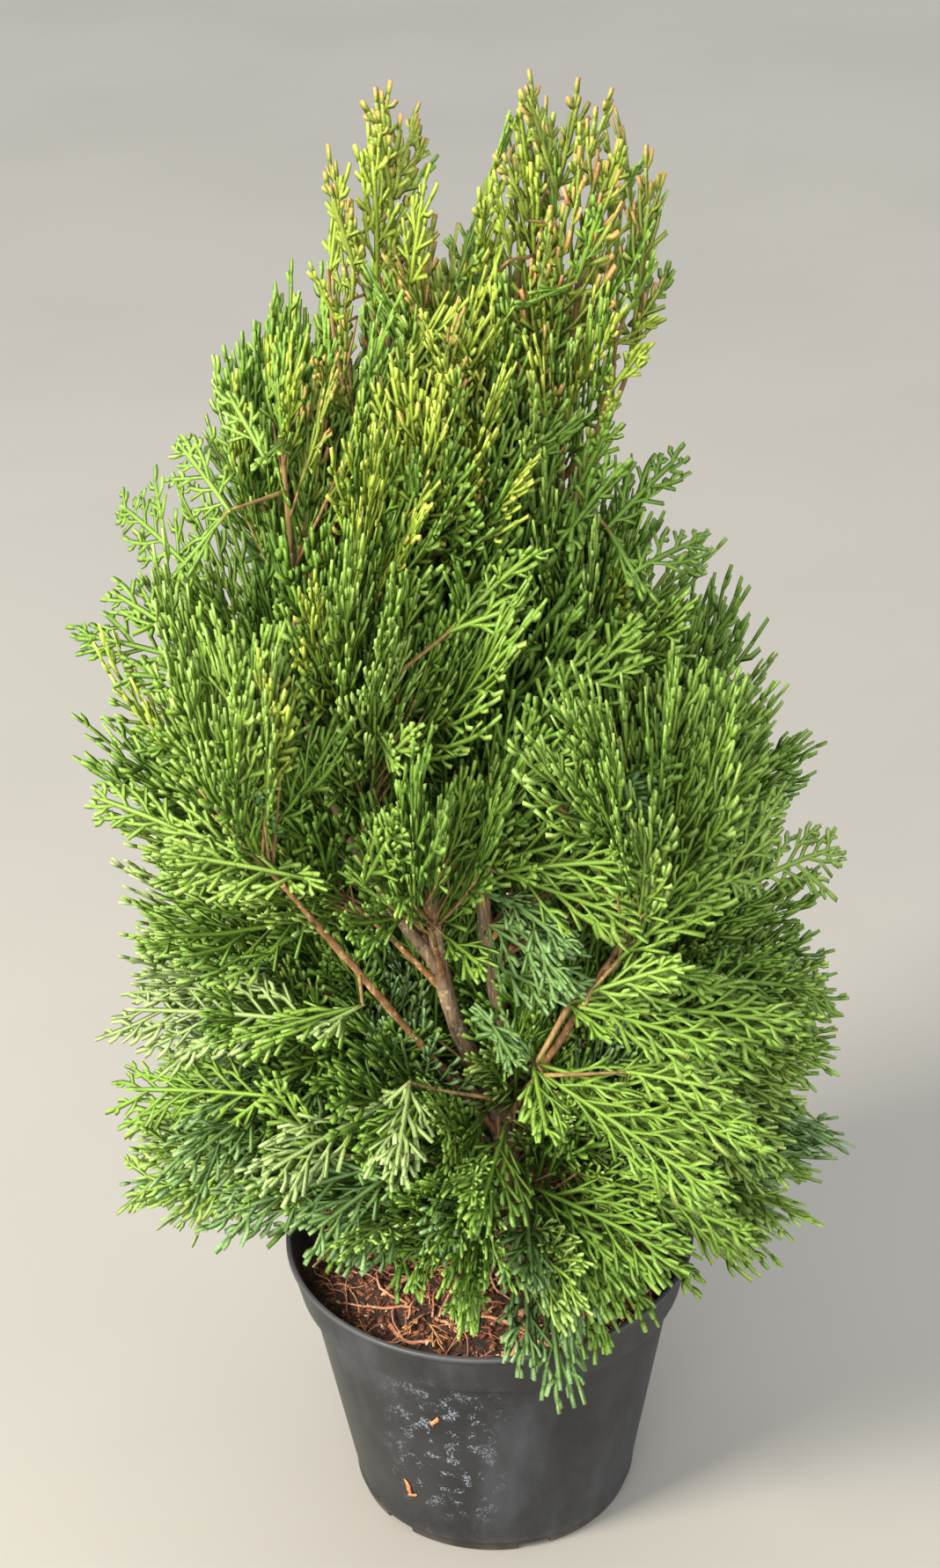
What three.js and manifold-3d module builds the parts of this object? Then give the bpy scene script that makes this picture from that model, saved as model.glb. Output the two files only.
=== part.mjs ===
// Potted thuja: a young upright evergreen with two tops, in a round nursery pot.
// Millimetres, +Z up. The origin is the centre of the pot's flat underside, -Y is the front.
// Each bough and each mass of foliage is a solid of its own, 0.3 mm clear of what carries it.

import * as THREE from 'three';
import { mergeVertices } from 'three/addons/utils/BufferGeometryUtils.js';
import Module from 'manifold-3d';

const wasm = await Module();
wasm.setup();

// Clearance between pieces that touch
const SEAT_GAP = 0.3;

// Pot
const POT_HEIGHT = 190;
const RIM_RADIUS = 130;
const BAND_HEIGHT = 33;
const BAND_FOOT_RADIUS = 122;
const SHOULDER_RADIUS = 117;
const POT_BASE_RADIUS = 89.6;
const POT_WALL = 2;
const POT_FLOOR = 3;
const LIP_HEIGHT = 4;
const LIP_WIDTH = 1.4;
const BASE_CHAMFER = 1.6;
const POT_SEGMENTS = 36;
const DRAIN_COUNT = 6;
const DRAIN_WIDTH = 22;
const DRAIN_RISE = 5;
const DRAIN_INSET = 12;
const DRAIN_TURN = 0.75;

// Soil
const SOIL_TOP = 172;
const SOIL_EDGE_DROP = 4;
const SOIL_FLAT_RADIUS = 40;
const SOIL_SEGMENTS = 24;

// Trunk and stems: points on the centre line, then the radius at the foot and at the tip
const TRUNK = {
  name: 'trunk',
  points: [[14, 0, SOIL_TOP + SEAT_GAP], [14, 0, 205], [12, -2, 250], [7, -4, 285], [2, -6, 312]],
  footRadius: 8.4,
  tipRadius: 6.9,
  sides: 9,
  steps: 12,
};
const ROOT_FLARE = 7;
const ROOT_FLARE_HEIGHT = 13;
const LEADERS = [
  {
    name: 'leader_left',
    points: [[4, -6, 302], [-16, -12, 350], [-27, -15, 410], [-31, -14, 480], [-50, -12, 570],
      [-47, -10, 680], [-44, -9, 735]],
    footRadius: 5.6,
    tipRadius: 2.2,
    sides: 7,
    steps: 12,
  },
  {
    name: 'leader_right',
    points: [[4, -5, 302], [9, 2, 345], [3, 8, 400], [2, 11, 450], [12, 12, 505], [33, 10, 575],
      [47, 8, 640], [52, 5, 740]],
    footRadius: 5.2,
    tipRadius: 2.1,
    sides: 7,
    steps: 12,
  },
  {
    name: 'leader_far_left',
    points: [[-26, -15, 396], [-58, -26, 455], [-84, -36, 525], [-98, -40, 610], [-99, -36, 680]],
    footRadius: 3.8,
    tipRadius: 1.8,
    sides: 6,
    steps: 8,
  },
  {
    name: 'leader_inner',
    points: [[27, 10, 556], [24, 14, 620], [21, 16, 726]],
    footRadius: 2.8,
    tipRadius: 1.7,
    sides: 6,
    steps: 6,
  },
];

// Crown: height, sideways offset of the middle and half-width of each lobe, from below
const CROWN_LOBES = [
  [[182, -5, 150], [236, -8, 214], [330, -5, 221], [450, -2, 207], [560, -22, 205], [640, -38, 188],
    [720, -32, 136], [800, -6, 104], [840, 0, 70]],
  [[700, -70, 72], [800, -52, 55], [885, -40, 36], [934, -34, 14]],
  [[700, 45, 72], [800, 55, 64], [885, 62, 52], [936, 58, 26]],
];
const CROWN_DEPTH_SHARE = 0.93;
const RIM_CLEARANCE = 8;

// Branches of a tier leave the stems at root height and rise to a tip, whose reach is a
// share of the crown's half-width. The bough is the bare share of a branch, next the stem.
const TIERS = [
  {
    name: 'skirt',
    count: 6,
    firstAzimuth: 280,
    rootHeight: 198,
    rootStagger: 10,
    tipHeight: 246,
    reach: 0.46,
    lift: 44,
    bare: 0.4,
    boughRadius: 2.5,
  },
  {
    name: 'middle',
    count: 6,
    firstAzimuth: 20,
    rootHeight: 376,
    rootStagger: 11,
    tipHeight: 492,
    reach: 0.5,
    lift: 62,
    bare: 0.36,
    boughRadius: 2.2,
  },
  {
    name: 'upper',
    count: 5,
    firstAzimuth: 50,
    rootHeight: 486,
    rootStagger: 12,
    tipHeight: 606,
    reach: 0.42,
    lift: 56,
    bare: 0,
    boughRadius: 1.9,
  },
  {
    name: 'shoulder',
    count: 3,
    firstAzimuth: 54,
    rootHeight: 590,
    rootStagger: 10,
    tipHeight: 712,
    reach: 0.58,
    lift: 56,
    bare: 0,
    boughRadius: 1.7,
  },
];

// Lower branches: azimuth, root height, tip height, reach, lift and bare share of each
const LOWER_BRANCHES = [
  { name: 'lower_right', azimuth: 352, root: 258, tip: 376, reach: 0.5, lift: 56, bare: 0.4 },
  { name: 'lower_back_right', azimuth: 50, root: 280, tip: 384, reach: 0.5, lift: 56, bare: 0.4 },
  { name: 'lower_back_left', azimuth: 112, root: 266, tip: 376, reach: 0.5, lift: 56, bare: 0.4 },
  { name: 'lower_left', azimuth: 172, root: 284, tip: 384, reach: 0.5, lift: 56, bare: 0.4 },
  { name: 'lower_front_left', azimuth: 229, root: 258, tip: 556, reach: 0.84, lift: 150, bare: 0.84 },
  { name: 'lower_front_right', azimuth: 311, root: 270, tip: 492, reach: 0.74, lift: 105, bare: 0.8 },
];
const LOWER_BOUGH_RADIUS = 2.6;

// Tops: the branch that goes on from the tip of each leader
const TOPS = [
  { name: 'top_left', leader: 'leader_left', tip: [-37, -5, 884] },
  { name: 'top_right', leader: 'leader_right', tip: [72, 4, 888] },
  { name: 'top_inner', leader: 'leader_inner', tip: [36, 14, 888] },
  { name: 'top_far_left', leader: 'leader_far_left', tip: [-101, -30, 760] },
];
const TOP_STEM_RADIUS = 1.8;

// Crests: upright side branches near the tops, from a leader's height to a tip of their own
const CRESTS = [
  { name: 'crest_left', leader: 'leader_left', root: 706, tip: [-72, -12, 832] },
  { name: 'crest_right', leader: 'leader_right', root: 700, tip: [97, 2, 838] },
  { name: 'crest_front', leader: 'leader_inner', root: 690, tip: [6, -34, 806] },
];
const CREST_STEM_RADIUS = 1.7;
const BOUGH_TIP_SHARE = 0.62;
const AZIMUTH_JITTER = 0.25;
const BRANCH_BELLY = 0.5;
const CREST_BELLY = 0.33;
const BOUGH_SIDES = 4;
const BOUGH_STEPS = 4;
const STEM_SIDES = 3;
const STEM_STEPS = 3;
const STEM_TIP_RADIUS = 1.5;

// Sprays: toothed blades that stand for the flat fans of scale leaves
const SPRAYS_PER_MASS = 5;
const SPRAYS_PER_TOP = 6;
const SPRAY_TRIES = 160;
const SPRAY_LONGEST = 170;
const SPRAY_SHORTEST = 42;
const SPRAY_WIDTHS = [1.2, 1, 0.75, 0.5];
const TOOTH_ROOTS = [0.24, 0.44, 0.64];
const TOOTH_LENGTHS = [0.5, 0.44, 0.32];
const TOOTH_LENGTH_LOW = 0.86;
const TOOTH_LENGTH_RANGE = 0.2;
const TOOTH_ANGLE = 0.56;
const TOOTH_REACH = 0.97;
const LAST_NOTCH = 0.8;
const NOTCH_SETBACK = 0.05;
const NOTCH_HALF_WIDTH = 0.03;
const TOOTH_STAGGER = 0.05;
const STALK_HALF_WIDTH = 1.1;
const STALK_HALF_THICKNESS = 1;
const BARE_STALK = 0.2;
const BLADE_HALF_THICKNESS = 1.5;
const SPRAY_BEND = 0.14;
const SPRAY_CHECKS = [0.35, 0.7, 1];
const FIRST_SPRAY = 0.12;
const LAST_ROOT = 0.97;
const SPRAY_SPLAY = 0.9;
const SPRAY_OUTWARD = 0.35;
const SPRAY_UPWARD = 0.7;
const SPRAY_ROLL = 1.6;
const SPREADING_HEIGHT = 240;
const UPRIGHT_HEIGHT = 640;
const CELL_MARGIN = 4;
const LIMB_MARGIN = 3.5;
const STEM_MARGIN = 4;
const SPRAY_SPACING = 7;
const MARCH_STEP = 5;
const GOLDEN_ANGLE = 2.39996;
const FUSE_TOLERANCE = 0.25;

// Finishes
const FINISHES = {
  pot: { color: 0x26282b, roughness: 0.55, metalness: 0 },
  soil: { color: 0x59402f, roughness: 0.95, metalness: 0 },
  bark: { color: 0x7d5e4e, roughness: 0.85, metalness: 0 },
  youngBark: { color: 0x9a5f42, roughness: 0.75, metalness: 0 },
  lowFoliage: { color: 0x3d6a3a, roughness: 0.6, metalness: 0 },
  midFoliage: { color: 0x4f8a2f, roughness: 0.6, metalness: 0 },
  topFoliage: { color: 0x86a23a, roughness: 0.6, metalness: 0 },
};
const LOW_FOLIAGE_HEIGHT = 420;
const TOP_FOLIAGE_HEIGHT = 700;

// Solids and geometries

function solidOf(geometry) {
  const bare = geometry.clone();
  bare.deleteAttribute('normal');
  bare.deleteAttribute('uv');
  const merged = mergeVertices(bare);
  return new wasm.Manifold(new wasm.Mesh({
    numProp: 3,
    vertProperties: new Float32Array(merged.attributes.position.array),
    triVerts: new Uint32Array(merged.index.array),
  }));
}

function geometryOf(solid) {
  const mesh = solid.getMesh();
  const geometry = new THREE.BufferGeometry();
  geometry.setAttribute('position', new THREE.BufferAttribute(mesh.vertProperties, 3));
  geometry.setIndex(new THREE.BufferAttribute(mesh.triVerts, 1));
  geometry.computeVertexNormals();
  return geometry;
}

// The largest closed body of a solid: loose scraps and sealed hollows are left behind
function largestBody(solid) {
  const bodies = solid.decompose();
  return bodies.reduce((best, body) => (body.volume() > best.volume() ? body : best));
}

// The same pseudo-random share of 1 for the same pair of whole numbers
function share(index, salt) {
  const wave = Math.sin(index * 12.9898 + salt * 78.233) * 43758.5453;
  return wave - Math.floor(wave);
}

// Crown and pot as spaces

// Middle and half-width of a lobe at a height, straight between its rows, or null outside it
function lobeAt(rows, z) {
  for (let i = 1; i < rows.length; i += 1) {
    const [lowZ, lowMiddle, lowWidth] = rows[i - 1];
    const [highZ, highMiddle, highWidth] = rows[i];
    if (z >= lowZ && z <= highZ) {
      const step = (z - lowZ) / (highZ - lowZ);
      return {
        middle: THREE.MathUtils.lerp(lowMiddle, highMiddle, step),
        halfWidth: THREE.MathUtils.lerp(lowWidth, highWidth, step),
      };
    }
  }
  return null;
}

function insideCrown(point) {
  return CROWN_LOBES.some((rows) => {
    const lobe = lobeAt(rows, point.z);
    if (!lobe) {
      return false;
    }
    const sideways = (point.x - lobe.middle) / lobe.halfWidth;
    const deep = point.y / (lobe.halfWidth * CROWN_DEPTH_SHARE);
    return sideways * sideways + deep * deep <= 1;
  });
}

function clearOfPot(point) {
  const radius = Math.hypot(point.x, point.y);
  return radius > RIM_RADIUS + RIM_CLEARANCE || point.z > POT_HEIGHT + RIM_CLEARANCE;
}

// Limbs

// Tube of a regular section along a curve, with a radius of its own at each station.
// It starts as a thin even tube, and each ring is then spread from its own centre.
function limbSolid(limb, grow = 0) {
  const corners = [];
  for (let i = 0; i < limb.sides; i += 1) {
    const angle = (2 * Math.PI * i) / limb.sides;
    corners.push(new THREE.Vector2(Math.cos(angle), Math.sin(angle)));
  }
  const geometry = new THREE.ExtrudeGeometry(new THREE.Shape(corners), {
    steps: limb.steps,
    extrudePath: limb.curve,
    bevelEnabled: false,
  });
  const centres = limb.curve.getSpacedPoints(limb.steps);
  const position = geometry.attributes.position;
  const vertex = new THREE.Vector3();
  for (let i = 0; i < position.count; i += 1) {
    vertex.fromBufferAttribute(position, i);
    const station = nearestStation(centres, vertex);
    const along = station / limb.steps;
    vertex.sub(centres[station]).multiplyScalar(limb.radiusAt(along) + grow);
    vertex.add(centres[station]);
    if (station === limb.steps) {
      vertex.addScaledVector(limb.curve.getTangentAt(1), grow);
    }
    position.setXYZ(i, vertex.x, vertex.y, vertex.z);
  }
  return solidOf(geometry);
}

function nearestStation(centres, vertex) {
  let best = 0;
  for (let i = 1; i < centres.length; i += 1) {
    if (vertex.distanceToSquared(centres[i]) < vertex.distanceToSquared(centres[best])) {
      best = i;
    }
  }
  return best;
}

function taper(footRadius, tipRadius) {
  return (along) => THREE.MathUtils.lerp(footRadius, tipRadius, along);
}

function limbFromPoints(spec) {
  const curve = new THREE.CatmullRomCurve3(spec.points.map((p) => new THREE.Vector3(...p)));
  return { ...spec, curve, radiusAt: taper(spec.footRadius, spec.tipRadius) };
}

// Point of an upright limb's centre line at a height, or null where the limb doesn't reach it
function limbPointAt(limb, z) {
  const foot = limb.curve.getPointAt(0);
  const tip = limb.curve.getPointAt(1);
  if (z < foot.z || z > tip.z) {
    return null;
  }
  let low = 0;
  let high = 1;
  for (let i = 0; i < 24; i += 1) {
    const middle = (low + high) / 2;
    if (limb.curve.getPointAt(middle).z < z) {
      low = middle;
    } else {
      high = middle;
    }
  }
  return limb.curve.getPointAt(low);
}

// Stretch of a curve between two shares of its run, as a curve of its own
function stretch(curve, from, to) {
  const points = [];
  for (let i = 0; i <= BOUGH_STEPS; i += 1) {
    points.push(curve.getPoint(THREE.MathUtils.lerp(from, to, i / BOUGH_STEPS)));
  }
  return new THREE.CatmullRomCurve3(points);
}

const trunk = limbFromPoints(TRUNK);
const trunkLength = trunk.curve.getLength();
const plainTaper = trunk.radiusAt;
trunk.radiusAt = (along) => plainTaper(along)
  + ROOT_FLARE * Math.exp((-along * trunkLength) / ROOT_FLARE_HEIGHT);
const leaders = LEADERS.map(limbFromPoints);

// Branches: each is one curve from its limb to its tip, a bare bough first and then a mass

// The upright limb that passes nearest to a branch's tip at the height of its root
function limbNear(rootHeight, tip) {
  const flatDistance = (point) => Math.hypot(point.x - tip.x, point.y - tip.y);
  let best = null;
  for (const limb of [trunk, ...leaders]) {
    const point = limbPointAt(limb, rootHeight);
    if (point && (!best || flatDistance(point) < flatDistance(best))) {
      best = point;
    }
  }
  return best;
}

function crownTip(azimuth, height, reach) {
  const lobe = lobeAt(CROWN_LOBES[0], height);
  const angle = THREE.MathUtils.degToRad(azimuth);
  return new THREE.Vector3(
    lobe.middle + Math.cos(angle) * lobe.halfWidth * reach,
    Math.sin(angle) * lobe.halfWidth * reach * CROWN_DEPTH_SHARE,
    height,
  );
}

function branchTo(name, azimuth, root, height, reach, lift, bare, boughRadius) {
  const tip = crownTip(azimuth, height, reach);
  const foot = limbNear(root, tip);
  const control = new THREE.Vector3().lerpVectors(foot, tip, BRANCH_BELLY);
  control.z = foot.z + lift;
  return { name, bare, boughRadius, curve: new THREE.QuadraticBezierCurve3(foot, control, tip) };
}

function tierBranches(tier, tierIndex) {
  const branches = [];
  for (let i = 0; i < tier.count; i += 1) {
    const turn = share(i, tierIndex) - 0.5;
    const rise = share(i, tierIndex + 20) - 0.5;
    branches.push(branchTo(
      `${tier.name}_${i + 1}`,
      tier.firstAzimuth + (360 * (i + AZIMUTH_JITTER * turn)) / tier.count,
      tier.rootHeight + tier.rootStagger * (i % 3),
      tier.tipHeight + tier.rootStagger * 2 * rise,
      tier.reach,
      tier.lift,
      tier.bare,
      tier.boughRadius,
    ));
  }
  return branches;
}

function lowerBranch(spec) {
  return branchTo(spec.name, spec.azimuth, spec.root, spec.tip, spec.reach, spec.lift, spec.bare,
    LOWER_BOUGH_RADIUS);
}

function topBranch(spec) {
  const leader = leaders.find((limb) => limb.name === spec.leader);
  const foot = leader.curve.getPointAt(1);
  foot.addScaledVector(leader.curve.getTangentAt(1), SEAT_GAP);
  const tip = new THREE.Vector3(...spec.tip);
  const control = new THREE.Vector3().lerpVectors(foot, tip, BRANCH_BELLY);
  const curve = new THREE.QuadraticBezierCurve3(foot, control, tip);
  return { name: spec.name, bare: 0, boughRadius: TOP_STEM_RADIUS, curve, sprayCount: SPRAYS_PER_TOP };
}

function crestBranch(spec) {
  const leader = leaders.find((limb) => limb.name === spec.leader);
  const foot = limbPointAt(leader, spec.root);
  const tip = new THREE.Vector3(...spec.tip);
  const control = new THREE.Vector3(tip.x, tip.y, THREE.MathUtils.lerp(foot.z, tip.z, CREST_BELLY));
  const curve = new THREE.QuadraticBezierCurve3(foot, control, tip);
  return { name: spec.name, bare: 0, boughRadius: CREST_STEM_RADIUS, curve };
}

const branches = [
  ...TIERS.flatMap(tierBranches),
  ...LOWER_BRANCHES.map(lowerBranch),
  ...TOPS.map(topBranch),
  ...CRESTS.map(crestBranch),
];

for (const branch of branches) {
  const thinned = Math.max(branch.boughRadius * BOUGH_TIP_SHARE, STEM_TIP_RADIUS);
  const stemRadius = branch.bare > 0 ? thinned : branch.boughRadius;
  if (branch.bare > 0) {
    branch.bough = {
      name: `bough_${branch.name}`,
      curve: stretch(branch.curve, 0, branch.bare),
      radiusAt: taper(branch.boughRadius, stemRadius),
      sides: BOUGH_SIDES,
      steps: BOUGH_STEPS,
    };
  }
  const gapShare = branch.bare > 0 ? SEAT_GAP / branch.curve.getLength() : 0;
  branch.stem = {
    name: `foliage_${branch.name}`,
    curve: stretch(branch.curve, branch.bare + gapShare, 1),
    radiusAt: taper(stemRadius, STEM_TIP_RADIUS),
    sides: STEM_SIDES,
    steps: STEM_STEPS,
  };
  branch.path = branch.stem.curve.getSpacedPoints(STEM_STEPS);
}

// Spaces of the masses: a point belongs to the mass whose stem is nearest

const segment = new THREE.Line3();
const footOnPath = new THREE.Vector3();

function distanceToPath(point, path) {
  let best = Infinity;
  for (let i = 1; i < path.length; i += 1) {
    segment.set(path[i - 1], path[i]);
    segment.closestPointToPoint(point, true, footOnPath);
    best = Math.min(best, footOnPath.distanceTo(point));
  }
  return best;
}

function insideCell(point, branch) {
  const own = distanceToPath(point, branch.path);
  return branches.every((other) => (
    other === branch || distanceToPath(point, other.path) > own + CELL_MARGIN
  ));
}

const woody = [trunk, ...leaders, ...branches.filter((b) => b.bough).map((b) => b.bough)];
for (const limb of woody) {
  limb.path = limb.curve.getSpacedPoints(limb.steps);
  limb.thickness = limb.radiusAt(1 / limb.steps);
}

function clearOfLimbs(point) {
  return woody.every((limb) => distanceToPath(point, limb.path) > limb.thickness + LIMB_MARGIN);
}

function inMassSpace(point, branch) {
  return insideCrown(point) && clearOfPot(point) && clearOfLimbs(point) && insideCell(point, branch);
}

// Sprays

// Outline of a flat blade in shares of its length, from the right side of its root round its
// tip to the left side. Each row also names the station of the rib that its next edge joins.
function bladeOutline(width, sprayIndex) {
  const side = (sign) => {
    const rows = [];
    TOOTH_ROOTS.forEach((root, i) => {
      const late = sign > 0 ? TOOTH_STAGGER : 0;
      const vigour = TOOTH_LENGTH_LOW + TOOTH_LENGTH_RANGE * share(sprayIndex, 31 + 2 * i + sign);
      const length = TOOTH_LENGTHS[i] * vigour;
      const tipAlong = Math.min(root + late + length * Math.cos(TOOTH_ANGLE), TOOTH_REACH);
      const tipAcross = sign * width * length * Math.sin(TOOTH_ANGLE);
      const notch = i === 0 ? root - NOTCH_SETBACK * 2 : root - NOTCH_SETBACK + late;
      rows.push({ along: notch, across: sign * NOTCH_HALF_WIDTH, rib: i + 1 });
      rows.push({ along: tipAlong, across: tipAcross, rib: i + 1 });
    });
    const last = TOOTH_ROOTS.length;
    rows.push({ along: LAST_NOTCH, across: sign * NOTCH_HALF_WIDTH, rib: last });
    return rows;
  };
  const right = side(-1);
  const left = side(1).reverse();
  left.forEach((row, i) => {
    row.rib = i + 1 < left.length ? left[i + 1].rib : 0;
  });
  const tip = { along: 1, across: 0, rib: TOOTH_ROOTS.length };
  return [{ along: 0, across: 0, rib: 0, rootSide: -1 }, ...right, tip, ...left,
    { along: 0, across: 0, rib: 0, rootSide: 1 }];
}

// Closed lens of two skins that meet at the outline and stand apart along the rib
function sprayGeometry(spray) {
  const positions = [];
  const place = (along, across, off) => {
    const bend = SPRAY_BEND * spray.length * along * along;
    const point = spray.base.clone();
    point.addScaledVector(spray.direction, along * spray.length);
    point.addScaledVector(spray.across, across);
    point.addScaledVector(spray.normal, off + bend);
    positions.push(point.x, point.y, point.z);
    return positions.length / 3 - 1;
  };
  const outline = bladeOutline(spray.width, spray.index);
  const edge = outline.map((row) => (
    place(row.along, row.rootSide ? row.rootSide * STALK_HALF_WIDTH : row.across * spray.length, 0)
  ));
  const ribStations = [0, ...TOOTH_ROOTS];
  const indices = [];
  for (const skin of [1, -1]) {
    const rib = ribStations.map((along, i) => (
      place(along, 0, skin * (i === 0 ? STALK_HALF_THICKNESS : BLADE_HALF_THICKNESS))
    ));
    const addFace = (a, b, c) => indices.push(...(skin > 0 ? [a, b, c] : [a, c, b]));
    for (let i = 0; i < edge.length; i += 1) {
      const next = (i + 1) % edge.length;
      const ribHere = outline[i].rib;
      const ribNext = outline[next].rib;
      addFace(rib[ribHere], edge[i], edge[next]);
      if (ribNext !== ribHere) {
        addFace(rib[ribHere], edge[next], rib[ribNext]);
      }
    }
  }
  const geometry = new THREE.BufferGeometry();
  geometry.setAttribute('position', new THREE.BufferAttribute(new Float32Array(positions), 3));
  geometry.setIndex(indices);
  return geometry;
}

// Distance that a point can travel before it would leave the space of its mass
function freeRun(base, direction, branch) {
  const point = new THREE.Vector3();
  let run = MARCH_STEP * 2;
  while (run <= SPRAY_LONGEST) {
    point.copy(base).addScaledVector(direction, run + MARCH_STEP);
    if (!inMassSpace(point, branch)) {
      break;
    }
    run += MARCH_STEP;
  }
  return Math.min(run, SPRAY_LONGEST);
}

// Points spread over a blade beyond its bare stalk
function sprayPoints(spray) {
  const points = [];
  for (const row of bladeOutline(spray.width, spray.index)) {
    for (const part of SPRAY_CHECKS) {
      const along = Math.max(row.along, BARE_STALK);
      const point = spray.base.clone().addScaledVector(spray.direction, along * spray.length);
      point.addScaledVector(spray.across, row.across * spray.length * part);
      point.addScaledVector(spray.normal, SPRAY_BEND * spray.length * along * along);
      points.push(point);
    }
  }
  return points;
}

// A spray fits where it stays in its mass's space and off its own stem
function sprayFits(spray, branch) {
  return spray.points.every((point) => (
    inMassSpace(point, branch) && distanceToPath(point, branch.path) > STEM_MARGIN
  ));
}

function clearOfSprays(spray, others) {
  return others.every((other) => spray.points.every((point) => (
    other.points.every((there) => there.distanceTo(point) > SPRAY_SPACING)
  )));
}

// One try at a spray: the first goes on from the stem's tip, the rest stand round the stem
function trySpray(branch, branchIndex, tryIndex) {
  const seed = branchIndex * SPRAY_TRIES + tryIndex;
  const along = tryIndex === 0 ? 1 : THREE.MathUtils.lerp(FIRST_SPRAY, 1, Math.sqrt(share(seed, 1)));
  const tangent = branch.stem.curve.getTangentAt(along);
  const base = branch.stem.curve.getPointAt(Math.min(along, LAST_ROOT));
  const outward = new THREE.Vector3(base.x, base.y, 0).normalize();
  const up = new THREE.Vector3(0, 0, 1);
  const firstSide = new THREE.Vector3().crossVectors(tangent, outward).normalize();
  const secondSide = new THREE.Vector3().crossVectors(tangent, firstSide);
  const turn = GOLDEN_ANGLE * tryIndex;
  const climb = THREE.MathUtils.smoothstep(base.z, SPREADING_HEIGHT, UPRIGHT_HEIGHT);
  const direction = tangent.clone();
  if (tryIndex > 0) {
    direction.addScaledVector(firstSide, Math.cos(turn) * SPRAY_SPLAY);
    direction.addScaledVector(secondSide, Math.sin(turn) * SPRAY_SPLAY);
    direction.addScaledVector(outward, SPRAY_OUTWARD * (1 - climb));
    direction.addScaledVector(up, SPRAY_UPWARD * climb);
  }
  direction.normalize();
  const roll = SPRAY_ROLL * (share(seed, 2) - 0.5);
  const facing = outward.clone().add(up).addScaledVector(firstSide, roll);
  const normal = facing.addScaledVector(direction, -facing.dot(direction)).normalize();
  const across = new THREE.Vector3().crossVectors(normal, direction);
  const length = freeRun(base, direction, branch);
  if (length < SPRAY_SHORTEST) {
    return null;
  }
  for (const width of SPRAY_WIDTHS) {
    const spray = { base, direction, normal, across, length, width, index: seed };
    spray.points = sprayPoints(spray);
    if (sprayFits(spray, branch)) {
      return spray;
    }
  }
  return null;
}

// The spray that goes on from the stem first, then the largest ones that keep apart
function massSprays(branch, branchIndex) {
  const found = [];
  for (let i = 0; i < SPRAY_TRIES; i += 1) {
    const spray = trySpray(branch, branchIndex, i);
    if (spray) {
      found.push(spray);
    }
  }
  found.sort((a, b) => b.length * b.width - a.length * a.width);
  const sprays = [];
  for (const spray of found) {
    if (sprays.length < (branch.sprayCount ?? SPRAYS_PER_MASS) && clearOfSprays(spray, sprays)) {
      sprays.push(spray);
    }
  }
  return sprays;
}

// Pot and soil

function potGeometry() {
  const bandFoot = POT_HEIGHT - BAND_HEIGHT;
  const slope = (SHOULDER_RADIUS - POT_BASE_RADIUS) / bandFoot;
  const profile = [
    [0, 0],
    [POT_BASE_RADIUS - BASE_CHAMFER, 0],
    [POT_BASE_RADIUS, BASE_CHAMFER],
    [SHOULDER_RADIUS, bandFoot],
    [BAND_FOOT_RADIUS, bandFoot + BASE_CHAMFER],
    [RIM_RADIUS - LIP_WIDTH, POT_HEIGHT - LIP_HEIGHT],
    [RIM_RADIUS, POT_HEIGHT - LIP_HEIGHT + LIP_WIDTH],
    [RIM_RADIUS, POT_HEIGHT],
    [RIM_RADIUS - LIP_WIDTH - POT_WALL, POT_HEIGHT],
    [BAND_FOOT_RADIUS - POT_WALL, bandFoot + BASE_CHAMFER + POT_WALL],
    [SHOULDER_RADIUS - POT_WALL, bandFoot],
    [POT_BASE_RADIUS - POT_WALL + slope * POT_FLOOR, POT_FLOOR],
    [0, POT_FLOOR],
  ].map(([radius, z]) => new THREE.Vector2(radius, z));
  const shell = new THREE.LatheGeometry(profile, POT_SEGMENTS);
  shell.rotateX(Math.PI / 2);
  let pot = solidOf(shell);
  for (let i = 0; i < DRAIN_COUNT; i += 1) {
    const slot = new THREE.BoxGeometry(DRAIN_INSET * 2, DRAIN_WIDTH, DRAIN_RISE * 2);
    slot.translate(POT_BASE_RADIUS, 0, 0);
    slot.rotateZ((2 * Math.PI * (i + DRAIN_TURN)) / DRAIN_COUNT);
    pot = pot.subtract(solidOf(slot));
  }
  return geometryOf(pot);
}

function soilGeometry() {
  const bandFoot = POT_HEIGHT - BAND_HEIGHT;
  const slope = (SHOULDER_RADIUS - POT_BASE_RADIUS) / bandFoot;
  const bottom = POT_FLOOR + SEAT_GAP;
  const inside = POT_BASE_RADIUS - POT_WALL - SEAT_GAP * 2;
  const edgeTop = SOIL_TOP - SOIL_EDGE_DROP;
  const profile = [
    [0, bottom],
    [inside + slope * bottom, bottom],
    [inside + slope * bandFoot, bandFoot],
    [inside + slope * edgeTop, edgeTop],
    [SOIL_FLAT_RADIUS * 2, SOIL_TOP - SOIL_EDGE_DROP / 4],
    [SOIL_FLAT_RADIUS, SOIL_TOP],
    [0, SOIL_TOP],
  ].map(([radius, z]) => new THREE.Vector2(radius, z));
  const plug = new THREE.LatheGeometry(profile, SOIL_SEGMENTS);
  plug.rotateX(Math.PI / 2);
  return geometryOf(solidOf(plug));
}

// Assembly

const thuja = new THREE.Group();

function addPiece(name, geometry, finish) {
  const mesh = new THREE.Mesh(geometry, new THREE.MeshStandardMaterial(finish));
  mesh.name = name;
  thuja.add(mesh);
}

addPiece('pot', potGeometry(), FINISHES.pot);
addPiece('soil', soilGeometry(), FINISHES.soil);

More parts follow.
